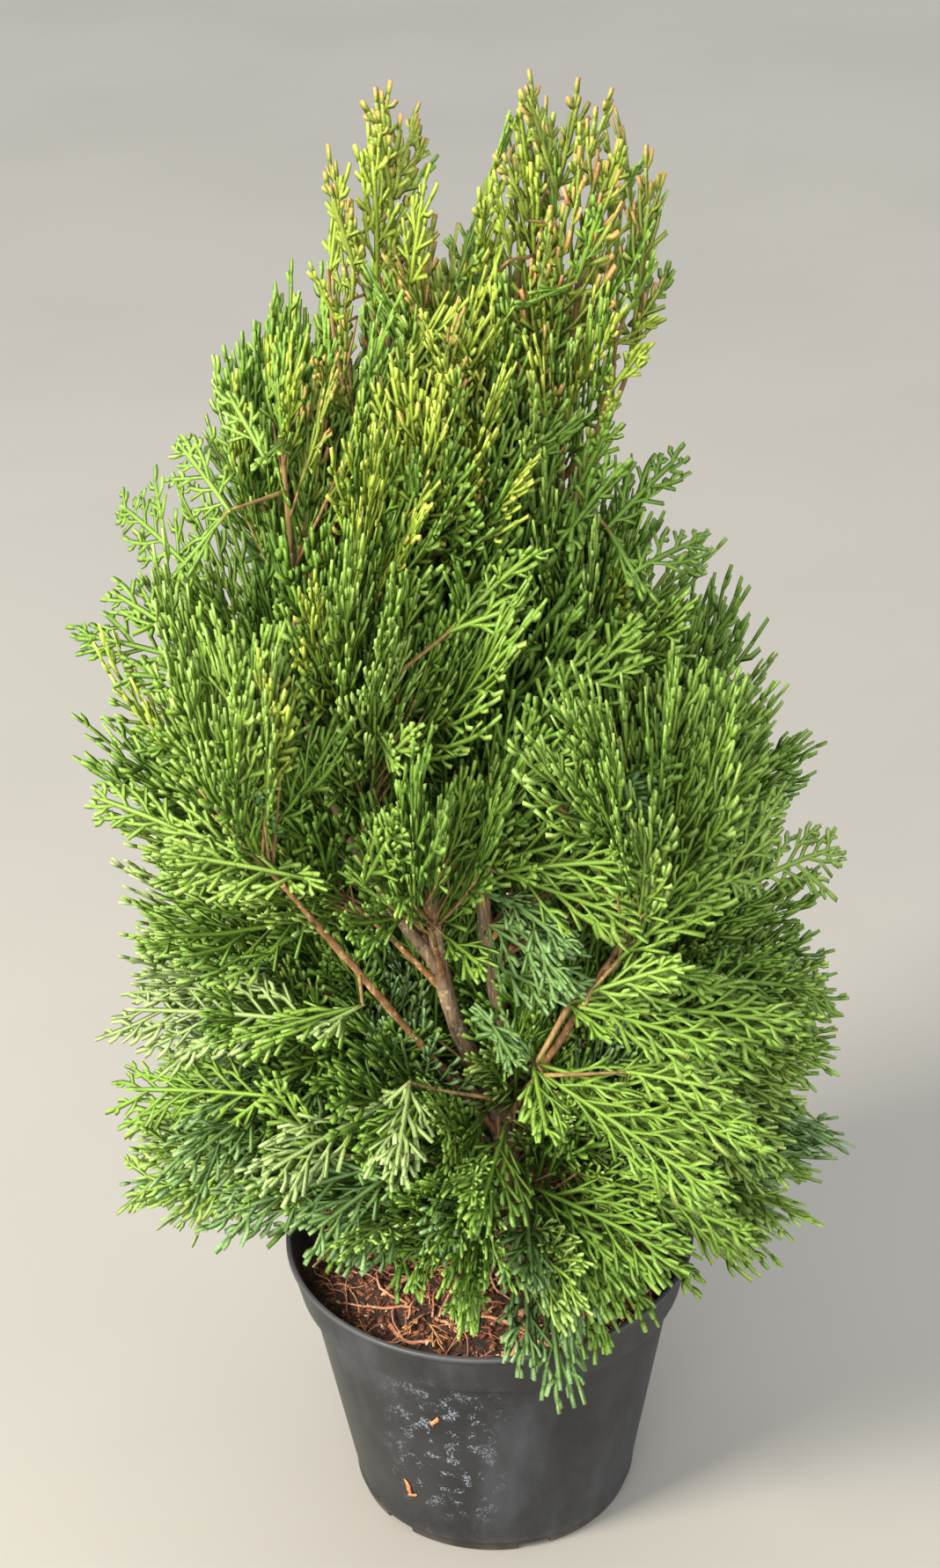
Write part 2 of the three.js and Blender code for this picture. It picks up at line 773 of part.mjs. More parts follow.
// Each limb is cut clear of the limbs that stand before it, so its foot fits against its carrier
let grownWood = null;
for (const limb of woody) {
  const whole = limbSolid(limb);
  const solid = grownWood ? largestBody(whole.subtract(grownWood)) : whole;
  const grown = limbSolid(limb, SEAT_GAP);
  grownWood = grownWood ? grownWood.add(grown) : grown;
  const isBough = limb.name.startsWith('bough_');
  addPiece(limb.name, geometryOf(solid), isBough ? FINISHES.youngBark : FINISHES.bark);
}

function foliageFinish(height) {
  if (height < LOW_FOLIAGE_HEIGHT) {
    return FINISHES.lowFoliage;
  }
  return height < TOP_FOLIAGE_HEIGHT ? FINISHES.midFoliage : FINISHES.topFoliage;
}

branches.forEach((branch, index) => {
  const stem = largestBody(limbSolid(branch.stem).subtract(grownWood));
  const blades = massSprays(branch, index).map((spray) => solidOf(sprayGeometry(spray)));
  const mass = largestBody(wasm.Manifold.union([stem, ...blades]).simplify(FUSE_TOLERANCE));
  addPiece(branch.stem.name, geometryOf(mass), foliageFinish(branch.curve.getPoint(1).z));
});

export default thuja;
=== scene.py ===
"""Potted thuja: the visible plant, pot and soil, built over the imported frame.

Lengths are millimetres while shapes are worked out, and metres once a mesh is written.
The origin is the centre of the pot's flat underside, +Z is up and -Y is the front.
"""

import logging
import math
from dataclasses import dataclass, fields
from enum import Enum

import bpy
import numpy as np
from mathutils import Matrix, Vector


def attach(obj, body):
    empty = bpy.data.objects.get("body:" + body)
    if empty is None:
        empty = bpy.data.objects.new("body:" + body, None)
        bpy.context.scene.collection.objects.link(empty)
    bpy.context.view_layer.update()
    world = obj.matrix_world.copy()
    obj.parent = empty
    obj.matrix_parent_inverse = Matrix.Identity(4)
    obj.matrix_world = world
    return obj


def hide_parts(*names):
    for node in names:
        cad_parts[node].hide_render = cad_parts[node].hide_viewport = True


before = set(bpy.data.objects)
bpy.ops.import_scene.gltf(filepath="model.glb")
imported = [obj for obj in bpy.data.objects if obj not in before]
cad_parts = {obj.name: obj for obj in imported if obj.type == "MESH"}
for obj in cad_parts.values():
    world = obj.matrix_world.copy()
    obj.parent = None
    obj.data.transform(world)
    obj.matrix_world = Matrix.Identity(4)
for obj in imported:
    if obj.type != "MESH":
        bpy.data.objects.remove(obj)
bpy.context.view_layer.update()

logging.basicConfig(level=logging.INFO, format="%(message)s")
LOG = logging.getLogger("thuja")

Array = np.ndarray
Pair = tuple[float, float]
Triple = tuple[float, float, float]
Colour = Triple
Arrays = tuple[Array, Array]
Tree = bpy.types.NodeTree
Sockets = bpy.types.bpy_prop_collection

METRES = 0.001
BODY = "root"
# The UV of a bar is its run in centimetres and its share of a turn.
UV_SCALE = (0.1, 1.0)


class Slot(str, Enum):
    """Material slots of the record."""

    POT = "pot_plastic"
    SOIL = "soil"
    BARK = "bark"
    YOUNG_BARK = "young_bark"
    FOLIAGE = "foliage"


# Measures shared with the part's source.


@dataclass(frozen=True)
class LimbSize:
    """Upright limb: points of its centre line and its radius at the foot and the tip."""

    name: str
    points: tuple[Triple, ...]
    foot_radius: float
    tip_radius: float


@dataclass(frozen=True)
class TierSize:
    """Ring of branches that leave the upright limbs at about one height."""

    name: str
    count: int
    first_azimuth: float
    root_height: float
    root_stagger: float
    tip_height: float
    reach: float
    lift: float
    bare: float
    bough_radius: float


@dataclass(frozen=True)
class LowerSize:
    """Low branch with an azimuth and heights of its own."""

    name: str
    azimuth: float
    root: float
    tip: float
    reach: float
    lift: float
    bare: float


@dataclass(frozen=True)
class TopSize:
    """Branch that goes on from a leader's tip, or leaves it at a root height."""

    name: str
    leader: str
    tip: Triple
    root: float | None = None


TRUNK = LimbSize(
    "trunk",
    ((14, 0, 172.3), (14, 0, 205), (12, -2, 250), (7, -4, 285), (2, -6, 312)),
    8.4,
    6.9,
)
ROOT_FLARE = 7.0
ROOT_FLARE_HEIGHT = 13.0
LEADERS = (
    LimbSize(
        "leader_left",
        ((4, -6, 302), (-16, -12, 350), (-27, -15, 410), (-31, -14, 480), (-50, -12, 570),
         (-47, -10, 680), (-44, -9, 735)),
        5.6,
        2.2,
    ),
    LimbSize(
        "leader_right",
        ((4, -5, 302), (9, 2, 345), (3, 8, 400), (2, 11, 450), (12, 12, 505), (33, 10, 575),
         (47, 8, 640), (52, 5, 740)),
        5.2,
        2.1,
    ),
    LimbSize(
        "leader_far_left",
        ((-26, -15, 396), (-58, -26, 455), (-84, -36, 525), (-98, -40, 610), (-99, -36, 680)),
        3.8,
        1.8,
    ),
    LimbSize("leader_inner", ((27, 10, 556), (24, 14, 620), (21, 16, 726)), 2.8, 1.7),
)
TIERS = (
    TierSize("skirt", 6, 280, 198, 10, 246, 0.46, 44, 0.4, 2.5),
    TierSize("middle", 6, 20, 376, 11, 492, 0.5, 62, 0.36, 2.2),
    TierSize("upper", 5, 50, 486, 12, 606, 0.42, 56, 0.0, 1.9),
    TierSize("shoulder", 3, 54, 590, 10, 712, 0.58, 56, 0.0, 1.7),
)
LOWER_BRANCHES = (
    LowerSize("lower_right", 352, 258, 376, 0.5, 56, 0.4),
    LowerSize("lower_back_right", 50, 280, 384, 0.5, 56, 0.4),
    LowerSize("lower_back_left", 112, 266, 376, 0.5, 56, 0.4),
    LowerSize("lower_left", 172, 284, 384, 0.5, 56, 0.4),
    LowerSize("lower_front_left", 229, 258, 556, 0.84, 150, 0.84),
    LowerSize("lower_front_right", 311, 270, 492, 0.74, 105, 0.8),
)
LOWER_BOUGH_RADIUS = 2.6
TOPS = (
    TopSize("top_left", "leader_left", (-37, -5, 884)),
    TopSize("top_right", "leader_right", (72, 4, 888)),
    TopSize("top_inner", "leader_inner", (36, 14, 888)),
    TopSize("top_far_left", "leader_far_left", (-101, -30, 760)),
)
TOP_STEM_RADIUS = 1.8
CRESTS = (
    TopSize("crest_left", "leader_left", (-72, -12, 832), 706),
    TopSize("crest_right", "leader_right", (97, 2, 838), 700),
    TopSize("crest_front", "leader_inner", (6, -34, 806), 690),
)
CREST_STEM_RADIUS = 1.7
AZIMUTH_JITTER = 0.25
CREST_BELLY = 0.33
STEM_TIP_RADIUS = 1.0
STEM_SHARE = 0.62

CROWN_LOBES = (
    ((182, -5, 150), (236, -8, 214), (330, -5, 221), (450, -2, 207), (560, -22, 205),
     (640, -38, 188), (720, -32, 136), (800, -6, 104), (840, 0, 70)),
    ((700, -70, 72), (800, -52, 55), (885, -40, 36), (934, -34, 14)),
    ((700, 45, 72), (800, 55, 64), (885, 62, 52), (936, 58, 26)),
)
CROWN_DEPTH_SHARE = 0.93
GOLDEN_ANGLE = 2.39996
SPREADING_HEIGHT = 240.0
UPRIGHT_HEIGHT = 640.0


UP = np.array((0.0, 0.0, 1.0))
LEVEL = np.array((1.0, 1.0, 0.0))


# Helpers for numbers and lines.


def share(index: Array | float, salt: float) -> Array:
    """The source's pseudo-random share of 1 for a pair of numbers."""
    wave = np.sin(np.asarray(index, float) * 12.9898 + salt * 78.233) * 43758.5453
    return wave - np.floor(wave)


def unit(vectors: Array) -> Array:
    """The same vectors at length 1."""
    return vectors / np.maximum(np.linalg.norm(vectors, axis=-1, keepdims=True), 1e-9)


def dot(first: Array, second: Array) -> Array:
    """Dot product over the last axis, which is kept."""
    return np.sum(first * second, axis=-1, keepdims=True)


def square(facing: Array, along: Array) -> Array:
    """Unit vectors nearest to facing that stand square to the unit vectors along."""
    return unit(facing - along * dot(facing, along))


def turned(first: Array, second: Array, angle: Array | float) -> Array:
    """First vectors turned toward the second ones: cos(angle) * first + sin(angle) * second."""
    return np.cos(angle) * first + np.sin(angle) * second


def smooth(values: Array, low: float, high: float) -> Array:
    """Share of 1 that eases from 0 at low to 1 at high: step^2 * (3 - 2 * step)."""
    step = np.clip((np.asarray(values, float) - low) / (high - low), 0.0, 1.0)
    return step * step * (3.0 - 2.0 * step)


def fall(values: Array, low: float, high: float) -> Array:
    """Share of 1 that eases from 1 at low to 0 at high."""
    return smooth(-values, -high, -low)


def polar(radius: Array, turn: Array, height: Array | float) -> Array:
    """Points at a radius and an angle round the pot's axis, and at a height."""
    return np.stack(np.broadcast_arrays(radius * np.cos(turn), radius * np.sin(turn), height), axis=-1)


def run_of(paths: Array) -> Array:
    """Distance run at each station of a path, or of many, (..., k)."""
    steps = np.linalg.norm(np.diff(paths, axis=-2), axis=-1)
    return np.concatenate((np.zeros((*steps.shape[:-1], 1)), np.cumsum(steps, axis=-1)), axis=-1)


def even_path(points: Array, count: int) -> Array:
    """A polyline, (n, 3), resampled at that many even steps of its length.

    Args:
        points: The polyline, (n, 3).
        count: Number of points wanted.

    Returns:
        Points, (count, 3).
    """
    run = run_of(points)
    stations = np.linspace(0.0, run[-1], count)
    return np.column_stack([np.interp(stations, run, points[:, i]) for i in range(3)])


def spline_path(corners: Array, count: int, fine: int = 24) -> Array:
    """Centripetal Catmull-Rom line through the corners, at even steps.

    A stretch is the cubic through its two ends whose slopes there are weighed by the roots of the
    distances between the corners.

    Args:
        corners: Points that the line goes through, (n, 3).
        count: Number of stations wanted.
        fine: Points worked out for each stretch before the line is resampled.

    Returns:
        Stations, (count, 3).
    """
    ends = np.vstack((2 * corners[0] - corners[1], corners, 2 * corners[-1] - corners[-2]))
    t = np.linspace(0.0, 1.0, fine, endpoint=False)[:, None]
    rows = []
    for a, b, c, d in zip(ends[:-3], ends[1:-2], ends[2:-1], ends[3:]):
        before, here, after = (math.sqrt(np.linalg.norm(q - p)) for p, q in ((a, b), (b, c), (c, d)))
        leave = ((b - a) / before - (c - a) / (before + here) + (c - b) / here) * here
        arrive = ((c - b) / here - (d - b) / (here + after) + (d - c) / after) * here
        bend, twist = 3 * (c - b) - 2 * leave - arrive, 2 * (b - c) + leave + arrive
        rows.append(b + leave * t + bend * t**2 + twist * t**3)
    return even_path(np.vstack((*rows, corners[-1:])), count)


def polyline_distance(points: Array, starts: Array, ends: Array) -> Array:
    """Distance of every point, (n, 3), to every straight stretch between ends (s, 3), as (n, s).

    The foot of a point on a stretch is at (point - start) . along / along squared, kept between 0 and 1.

    Args:
        points: Points, (n, 3).
        starts: Starts of the stretches, (s, 3).
        ends: Their ends, (s, 3).

    Returns:
        Distances, (n, s).
    """
    along = ends - starts
    away = points[:, None, :] - starts[None, :, :]
    step = np.einsum("nsi,si->ns", away, along) / np.maximum(np.sum(along**2, axis=1), 1e-9)
    step = np.clip(step, 0.0, 1.0)[..., None]
    return np.linalg.norm(away - step * along, axis=2)


def lobe_at(rows: Array, z: Array | float) -> Arrays:
    """Middle and half-width of a lobe at heights."""
    return np.interp(z, rows[:, 0], rows[:, 1]), np.interp(z, rows[:, 0], rows[:, 2])


def way_out(rows: Array, points: Array) -> Array:
    """Share of the way from a lobe's middle to its surface, 1 at the surface."""
    middle, half = lobe_at(rows, points[:, 2])
    return np.hypot((points[:, 0] - middle) / half, points[:, 1] / (half * CROWN_DEPTH_SHARE))


class Relief:
    """Smooth seeded noise on a plane that repeats at whole numbers of cells."""

    def __init__(self, seed: int, cells: tuple[int, int]) -> None:
        """Draws the lattice of a noise with that many cells each way."""
        self.lattice = np.random.default_rng(seed).uniform(-1.0, 1.0, cells)

    def at(self, u: Array, v: Array) -> Array:
        """Height from -1 to 1 where u and v count cells.

        The four lattice values round a place are blended by eased shares of its cell.

        Args:
            u: Places along, in cells.
            v: Places across, in cells.

        Returns:
            Heights, shaped like u and v together.
        """
        rows, columns = self.lattice.shape
        low_u, low_v = np.floor(u).astype(int), np.floor(v).astype(int)
        step_u, step_v = smooth(u - low_u, 0.0, 1.0), smooth(v - low_v, 0.0, 1.0)
        near, far = (
            self.lattice[low_u % rows, (low_v + j) % columns] * (1 - step_u)
            + self.lattice[(low_u + 1) % rows, (low_v + j) % columns] * step_u
            for j in (0, 1)
        )
        return near * (1 - step_v) + far * step_v


# Meshes built as arrays.


@dataclass
class MeshData:
    """Triangles as arrays: vertices (n, 3), faces (m, 3) and corner UVs (m, 3, 2)."""

    vertices: Array
    faces: Array
    uvs: Array

    @classmethod
    def joined(cls, parts: "list[MeshData]") -> "MeshData":
        """Several meshes as one.

        Args:
            parts: The meshes.

        Returns:
            One mesh.
        """
        starts = np.cumsum([0] + [len(p.vertices) for p in parts[:-1]])
        return cls(
            np.vstack([p.vertices for p in parts]),
            np.vstack([p.faces + s for p, s in zip(parts, starts)]),
            np.vstack([p.uvs for p in parts]),
        )


def tube_faces(rows: int, columns: int) -> tuple[Array, Array, Array]:
    """Triangles of closed rings of corners, sides first, then foot and tip.

    Args:
        rows: Number of rings.
        columns: Corners of a ring. Ends of three corners are one triangle each, and others are fans
            round two middles that come after the rings.

    Returns:
        Triangles as rows of three corners, and the ring and the corner that each cell starts from.
    """
    i, j = (a.ravel() for a in np.meshgrid(np.arange(rows - 1), np.arange(columns), indexing="ij"))
    here, beside = i * columns + j, i * columns + (j + 1) % columns
    sides = np.vstack((
        np.column_stack((here, beside, beside + columns)),
        np.column_stack((here, beside + columns, here + columns)),
    ))
    last = (rows - 1) * columns
    if columns == 3:
        return np.vstack((sides, (0, 2, 1), (last, last + 1, last + 2))), i, j
    c = np.arange(columns)
    n = (c + 1) % columns
    foot = np.column_stack((np.full(columns, rows * columns), n, c))
    tip = np.column_stack((np.full(columns, rows * columns + 1), last + c, last + n))
    return np.vstack((sides, foot, tip)), i, j


def revolved(ring: Array, foot: float, tip: float) -> MeshData:
    """Rings of points, (rows, columns, 3), closed by middles on the axis at two heights.

    Args:
        ring: The rings, foot first.
        foot: Height of the first middle.
        tip: Height of the last one.

    Returns:
        The closed mesh.
    """
    vertices = np.vstack((ring.reshape(-1, 3), (0, 0, foot), (0, 0, tip)))
    faces, _, _ = tube_faces(*ring.shape[:2])
    return MeshData(vertices, faces, np.zeros((len(faces), 3, 2)))


def bars(paths: Array, frames: Arrays, width: Array, depth: Array, corners: int) -> MeshData:
    """Closed bars of an oval section, all with the same number of stations.

    A corner stands at centre + cos(turn) * width * across + sin(turn) * depth * normal.

    Args:
        paths: Centre lines, (n, k, 3).
        frames: Unit vectors of the width and of the depth, (n, k, 3), their cross product pointing along.
        width: Half-widths, (n, k) or (n, k, corners).
        depth: Half-depths, (n, k) or (n, k, corners).
        corners: Corners of the section.

    Returns:
        The bars, vertices of one bar after another.
    """
    across, normal = frames
    count, stations, _ = paths.shape
    turn = 2 * np.pi * np.arange(corners) / corners
    wide, deep = (size if size.ndim == 3 else size[..., None] for size in (width, depth))
    ring = paths[:, :, None, :] + (np.cos(turn) * wide)[..., None] * across[:, :, None, :]
    ring = ring + (np.sin(turn) * deep)[..., None] * normal[:, :, None, :]
    middles = (paths[:, :1], paths[:, -1:]) if corners > 3 else ()
    vertices = np.concatenate((ring.reshape(count, -1, 3), *middles), axis=1)
    faces, i, j = tube_faces(stations, corners)
    ends = (len(faces) - 2 * len(i)) // 2
    cap = np.arange(corners)
    cap = np.column_stack((cap + 0.5, cap, cap + 1.0)) if corners > 3 else np.array(((0.0, 1.0, 2.0),))
    u_index = np.vstack((
        np.column_stack((i, i, i + 1)),
        np.column_stack((i, i + 1, i + 1)),
        np.zeros((ends, 3), int),
        np.full((ends, 3), stations - 1),
    ))
    sides = np.column_stack((j, j + 1, j + 1)), np.column_stack((j, j + 1, j))
    v_share = np.vstack((*sides, cap, cap)) / corners
    u = run_of(paths)[:, u_index]
    starts = (np.arange(count) * vertices.shape[1])[:, None, None]
    return MeshData(
        vertices.reshape(-1, 3),
        (faces[None] + starts).reshape(-1, 3),
        np.stack((u, np.broadcast_to(v_share, u.shape)), axis=-1).reshape(-1, 3, 2),
    )


def steady_frames(path: Array) -> Arrays:
    """Two unit vectors across the path that don't twist round it.

    The normal at each station is the last one less its part along the tangent, at length 1.

    Args:
        path: Points of one path, (k, 3).

    Returns:
        Vectors, (k, 3) each.
    """
    tangents = unit(np.gradient(path, axis=0))
    normals = np.empty_like(path)
    seed = np.array((0.0, -1.0, 0.0)) if abs(tangents[0, 1]) < 0.9 else np.array((1.0, 0.0, 0.0))
    for i, tangent in enumerate(tangents):
        seed = unit(seed - tangent * float(seed @ tangent))
        normals[i] = seed
    return np.cross(normals, tangents), normals


def facing_frames(paths: Array, facing: Array) -> Arrays:
    """Two unit vectors across each path, (n, k, 3), the second as near to facing as can be.

    Args:
        paths: Points, (n, k, 3).
        facing: Wanted vectors.

    Returns:
        Vectors, (n, k, 3) each.
    """
    slopes = unit(np.gradient(paths, axis=1))
    normal = square(np.broadcast_to(facing, paths.shape), slopes)
    return np.cross(normal, slopes), normal


def write_piece(name: str, data: MeshData, material: bpy.types.Material, slot: Slot,
                nodes: list[str]) -> bpy.types.Object:
    """Writes an array mesh as a Blender piece that rides on the frame.

    Args:
        name: Name of the piece.
        data: Its triangles, in millimetres.
        material: Its finish.
        slot: The record's slot that the finish stands for; not used.
        nodes: CAD nodes that the piece stands for.

    Returns:
        The new object.
    """
    mesh = bpy.data.meshes.new(name)
    count = len(data.faces)
    mesh.vertices.add(len(data.vertices))
    mesh.vertices.foreach_set("co", (data.vertices * METRES).astype(np.float32).ravel())
    mesh.loops.add(count * 3)
    mesh.loops.foreach_set("vertex_index", data.faces.astype(np.int32).ravel())
    mesh.polygons.add(count)
    mesh.polygons.foreach_set("loop_start", np.arange(0, count * 3, 3, dtype=np.int32))
    mesh.polygons.foreach_set("use_smooth", np.ones(count, bool))
    layer = mesh.uv_layers.new(name="UVMap")
    layer.data.foreach_set("uv", (data.uvs * UV_SCALE).astype(np.float32).ravel())
    mesh.update(calc_edges=True)
    mesh.materials.append(material)
    piece = placed(bpy.data.objects.new(name, mesh))
    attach(piece, BODY)
    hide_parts(*nodes)
    LOG.info("%s: %d triangles", name, count)
    return piece


def placed(made: bpy.types.Object) -> bpy.types.Object:
    """Puts an object into the scene and returns it."""
    bpy.context.scene.collection.objects.link(made)
    return made


# Finishes and their shared shader effects.


def linear(colour: Colour) -> tuple[float, float, float, float]:
    """Linear RGBA of a colour given as 0-255 display values.

    Args:
        colour: Display colour.

    Returns:
        Linear colour with an alpha of 1.
    """
    channels = np.asarray(colour, float) / 255.0
    low, high = channels / 12.92, ((channels + 0.055) / 1.055) ** 2.4
    return (*np.where(channels <= 0.04045, low, high).tolist(), 1.0)


Socket = bpy.types.NodeSocket
Feed = Socket | float | tuple | None
VECTOR, COLOUR, FLOAT = "NodeSocketVector", "NodeSocketColor", "NodeSocketFloat"


@dataclass
class Graph:
    """Node tree with short calls that add nodes and link them."""

    tree: Tree

    def fill(self, sockets: Sockets, values: dict[str | int, Feed]) -> None:
        """Links each socket named to its value, or sets a plain value on it.

        Args:
            sockets: Sockets of a node.
            values: Value or socket by name or number.
        """
        for name, value in values.items():
            if isinstance(value, Socket):
                self.tree.links.new(value, sockets[name])
            elif value is not None:
                sockets[name].default_value = value

    def node(self, kind: str, values: dict[str | int, Feed], **settings: object) -> Sockets:
        """Adds a shader node with its properties and inputs, and returns its outputs.

        Args:
            kind: Type of the node without its first word.
            values: Its inputs.
            settings: Its properties.

        Returns:
            Its outputs.
        """
        made = self.tree.nodes.new("ShaderNode" + kind)
        for name, value in settings.items():
            setattr(made, name, value)
        self.fill(made.inputs, values)
        return made.outputs

    def use(self, group: Tree, **values: Feed) -> Sockets:
        """Adds a node group fed with the values given, and returns its outputs."""
        return self.node("Group", values, node_tree=group)

    def math(self, operation: str, first: Feed, second: Feed = None) -> Socket:
        """Result of a Math node."""
        return self.node("Math", {0: first, 1: second}, operation=operation)[0]

    def times(self, first: Feed, second: Feed) -> Socket:
        """Product of two values."""
        return self.math("MULTIPLY", first, second)

    def mix(self, factor: Feed, first: Feed, second: Feed, blend: str = "MIX") -> Socket:
        """Colour mixed from two by a factor."""
        values = {"Factor": factor, 6: first, 7: second}
        return self.node("Mix", values, data_type="RGBA", blend_type=blend)[2]

    def span(self, value: Feed, low: Feed, high: Feed, start: float = 0.0, end: float = 1.0) -> Socket:
        """Value eased from one range to another."""
        values = dict(enumerate((value, low, high, start, end)))
        return self.node("MapRange", values, interpolation_type="SMOOTHSTEP")[0]

    def noise(self, vector: Feed, scale: Feed, detail: float = 3.0, rough: float = 0.55) -> Socket:
        """Value of a noise texture."""
        values = {"Vector": vector, "Scale": scale, "Detail": detail, "Roughness": rough}
        return self.node("TexNoise", values)[0]

    def stretched(self, vector: Feed, scale: Triple) -> Socket:
        """Vector scaled along each axis."""
        return self.node("Mapping", {"Vector": vector, "Scale": scale})[0]

    def bump(self, height: Feed, strength: float, distance: float) -> Socket:
        """Normal of a Bump node."""
        return self.node("Bump", {"Strength": strength, "Distance": distance, "Height": height})[0]


class Effects:
    """Shader node groups that the finishes share."""

    def __init__(self) -> None:
        """Builds every group once."""
        self.mottle, self.beads = self._mottle(), self._beads()
        self.fibre, self.specks = self._fibre(), self._specks()

    @staticmethod
    def _group(name: str, inputs: dict[str, str | float], outputs: dict[str, str]) -> tuple:
        """Starts a group with named sockets.

        Args:
            name: Name of the group.
            inputs: By name, a socket's type, or the plain value of a float socket.
            outputs: Socket type by name.

        Returns:
            Graph of the group, its inputs and the sockets that its outputs are fed through.
        """
        tree = bpy.data.node_groups.new(name, "ShaderNodeTree")
        for socket, value in inputs.items():
            plain = not isinstance(value, str)
            made = tree.interface.new_socket(socket, in_out="INPUT", socket_type=FLOAT if plain else value)
            if plain:
                made.default_value = value
        for socket, kind in outputs.items():
            tree.interface.new_socket(socket, in_out="OUTPUT", socket_type=kind)
        entry, leave = tree.nodes.new("NodeGroupInput"), tree.nodes.new("NodeGroupOutput")
        return Graph(tree), entry.outputs, leave.inputs

    def _mottle(self) -> Tree:
        """Two colours mixed by soft patches.

        Returns:
            The node group.
        """
        inputs = {
            "Vector": VECTOR, "Scale": 40.0, "First": COLOUR, "Second": COLOUR, "Low": 0.35, "High": 0.65,
        }
        graph, given, out = self._group("mottle", inputs, {"Color": COLOUR, "Mask": FLOAT})
        mask = graph.span(graph.noise(given["Vector"], given["Scale"], 4.0), given["Low"], given["High"])
        graph.fill(out, {"Color": graph.mix(mask, given["First"], given["Second"]), "Mask": mask})
        return graph.tree

    def _beads(self) -> Tree:
        """Rows of small overlapping scales along a twig, from its UV map.

        Returns:
            The node group.
        """
        inputs = {"Vector": VECTOR, "Pitch": 4.6}
        graph, given, out = self._group("scale_beads", inputs, {"Height": FLOAT, "Seam": FLOAT})
        run, turn, _ = graph.node("SeparateXYZ", {0: given["Vector"]})
        side = graph.math("ABSOLUTE", graph.math("SINE", graph.times(turn, 2 * math.pi)))
        saw = graph.math("FRACT", graph.math("ADD", graph.times(run, given["Pitch"]), graph.times(side, 0.5)))
        height, seam = graph.math("POWER", saw, 0.6), graph.span(saw, 0.0, 0.28, 1.0, 0.0)
        graph.fill(out, {"Height": height, "Seam": seam})
        return graph.tree

    def _fibre(self) -> Tree:
        """Stringy strips that run along a limb, with cracks between them.

        Returns:
            The node group.
        """
        inputs = {"Vector": VECTOR, "Dark": COLOUR, "Middle": COLOUR, "Light": COLOUR}
        outputs = {"Color": COLOUR, "Height": FLOAT, "Crack": FLOAT}
        graph, given, out = self._group("bark_fibre", inputs, outputs)
        strips = graph.noise(graph.stretched(given["Vector"], (620.0, 620.0, 46.0)), 1.0, 5.0, 0.6)
        plates = graph.noise(graph.stretched(given["Vector"], (170.0, 170.0, 30.0)), 1.0, 3.0)
        height = graph.math("ADD", graph.times(strips, 0.6), graph.times(plates, 0.4))
        crack = graph.span(height, 0.34, 0.5, 1.0, 0.0)
        plain = graph.mix(graph.span(height, 0.52, 0.68), given["Middle"], given["Light"])
        graph.fill(out, {"Color": graph.mix(crack, plain, given["Dark"]), "Height": height, "Crack": crack})
        return graph.tree

    def _specks(self) -> Tree:
        """Scattered small spots, such as dust and water marks.

        Returns:
            The node group.
        """
        graph, given, out = self._group(
            "specks", {"Vector": VECTOR, "Scale": 300.0, "Radius": 0.3}, {"Mask": FLOAT}
        )
        cells = graph.node("TexVoronoi", {"Vector": given["Vector"], "Scale": given["Scale"]})
        kept = graph.span(graph.noise(given["Vector"], 90.0, 2.0), 0.46, 0.62)
        near = graph.math("LESS_THAN", cells["Distance"], graph.times(given["Radius"], kept))
        graph.fill(out, {"Mask": near})
        return graph.tree


class Finish:
    """Base of every finish: a Principled shader fed with what paint gives."""

    name: str

    def paint(self, graph: Graph, effects: Effects, place: Socket) -> dict[str, Feed]:
        """Values for the shader's inputs.

        Args:
            graph: Graph of the material.
            effects: The shared node groups.
            place: Object coordinates.

        Returns:
            Sockets or plain values by the names of the shader's inputs.
        """
        raise NotImplementedError

    def material(self, effects: Effects) -> bpy.types.Material:
        """Builds the material.

        Args:
            effects: The node groups.

        Returns:
            The material.
        """
        material = bpy.data.materials.new(self.name)
        material.use_nodes = True
        graph = Graph(material.node_tree)
        shader = next(n for n in material.node_tree.nodes if n.type == "BSDF_PRINCIPLED")
        place = graph.node("TexCoord", {})["Object"]
        graph.fill(shader.inputs, self.paint(graph, effects, place))
        return material


@dataclass(frozen=True)
class LeafFinish(Finish):
    """Scale leaves of one tint, with beads along the twig, soft patches and fresh ends."""

    name: str
    colour: Colour
    root: Colour
    end: Colour
    deep: float = 0.76
    roughness: float = 0.56
    bead_depth: float = 0.5
    blend: Pair = (0.2, 0.85)
    ends: Pair = (0.65, 1.2)
    fresh: float = 0.7

    def paint(self, graph: Graph, effects: Effects, place: Socket) -> dict[str, Feed]:
        """Beads and patches, from the root's colour to the end's.

        Args:
            graph: Nodes of the material.
            effects: The node groups.
            place: Coordinates of the object.

        Returns:
            Inputs of the shader.
        """
        plain = linear(self.colour)
        darker, seam = ((*(c * deep for c in plain[:3]), 1.0) for deep in (self.deep, self.deep**2.2))
        uv = graph.node("UVMap", {}, uv_map="UVMap")[0]
        run = graph.node("SeparateXYZ", {0: uv})[0]
        beads = graph.use(effects.beads, Vector=uv)
        patch = graph.use(effects.mottle, Vector=place, Scale=55.0, First=darker, Second=plain)
        grown = graph.mix(graph.span(run, *self.blend), linear(self.root), patch["Color"])
        fresh = graph.use(effects.mottle, Vector=place, Scale=26.0, Low=0.42, High=0.6)["Mask"]
        fresh = graph.times(fresh, graph.span(run, *self.ends, 0.0, self.fresh))
        grown = graph.mix(fresh, grown, linear(self.end))
        return {
            "Base Color": graph.mix(graph.times(beads["Seam"], 0.75), grown, seam),
            "Roughness": graph.span(beads["Height"], 0.0, 1.0, self.roughness + 0.14, self.roughness),
            "Normal": graph.bump(beads["Height"], self.bead_depth, 0.0006),
            "Specular IOR Level": 0.42,
        }


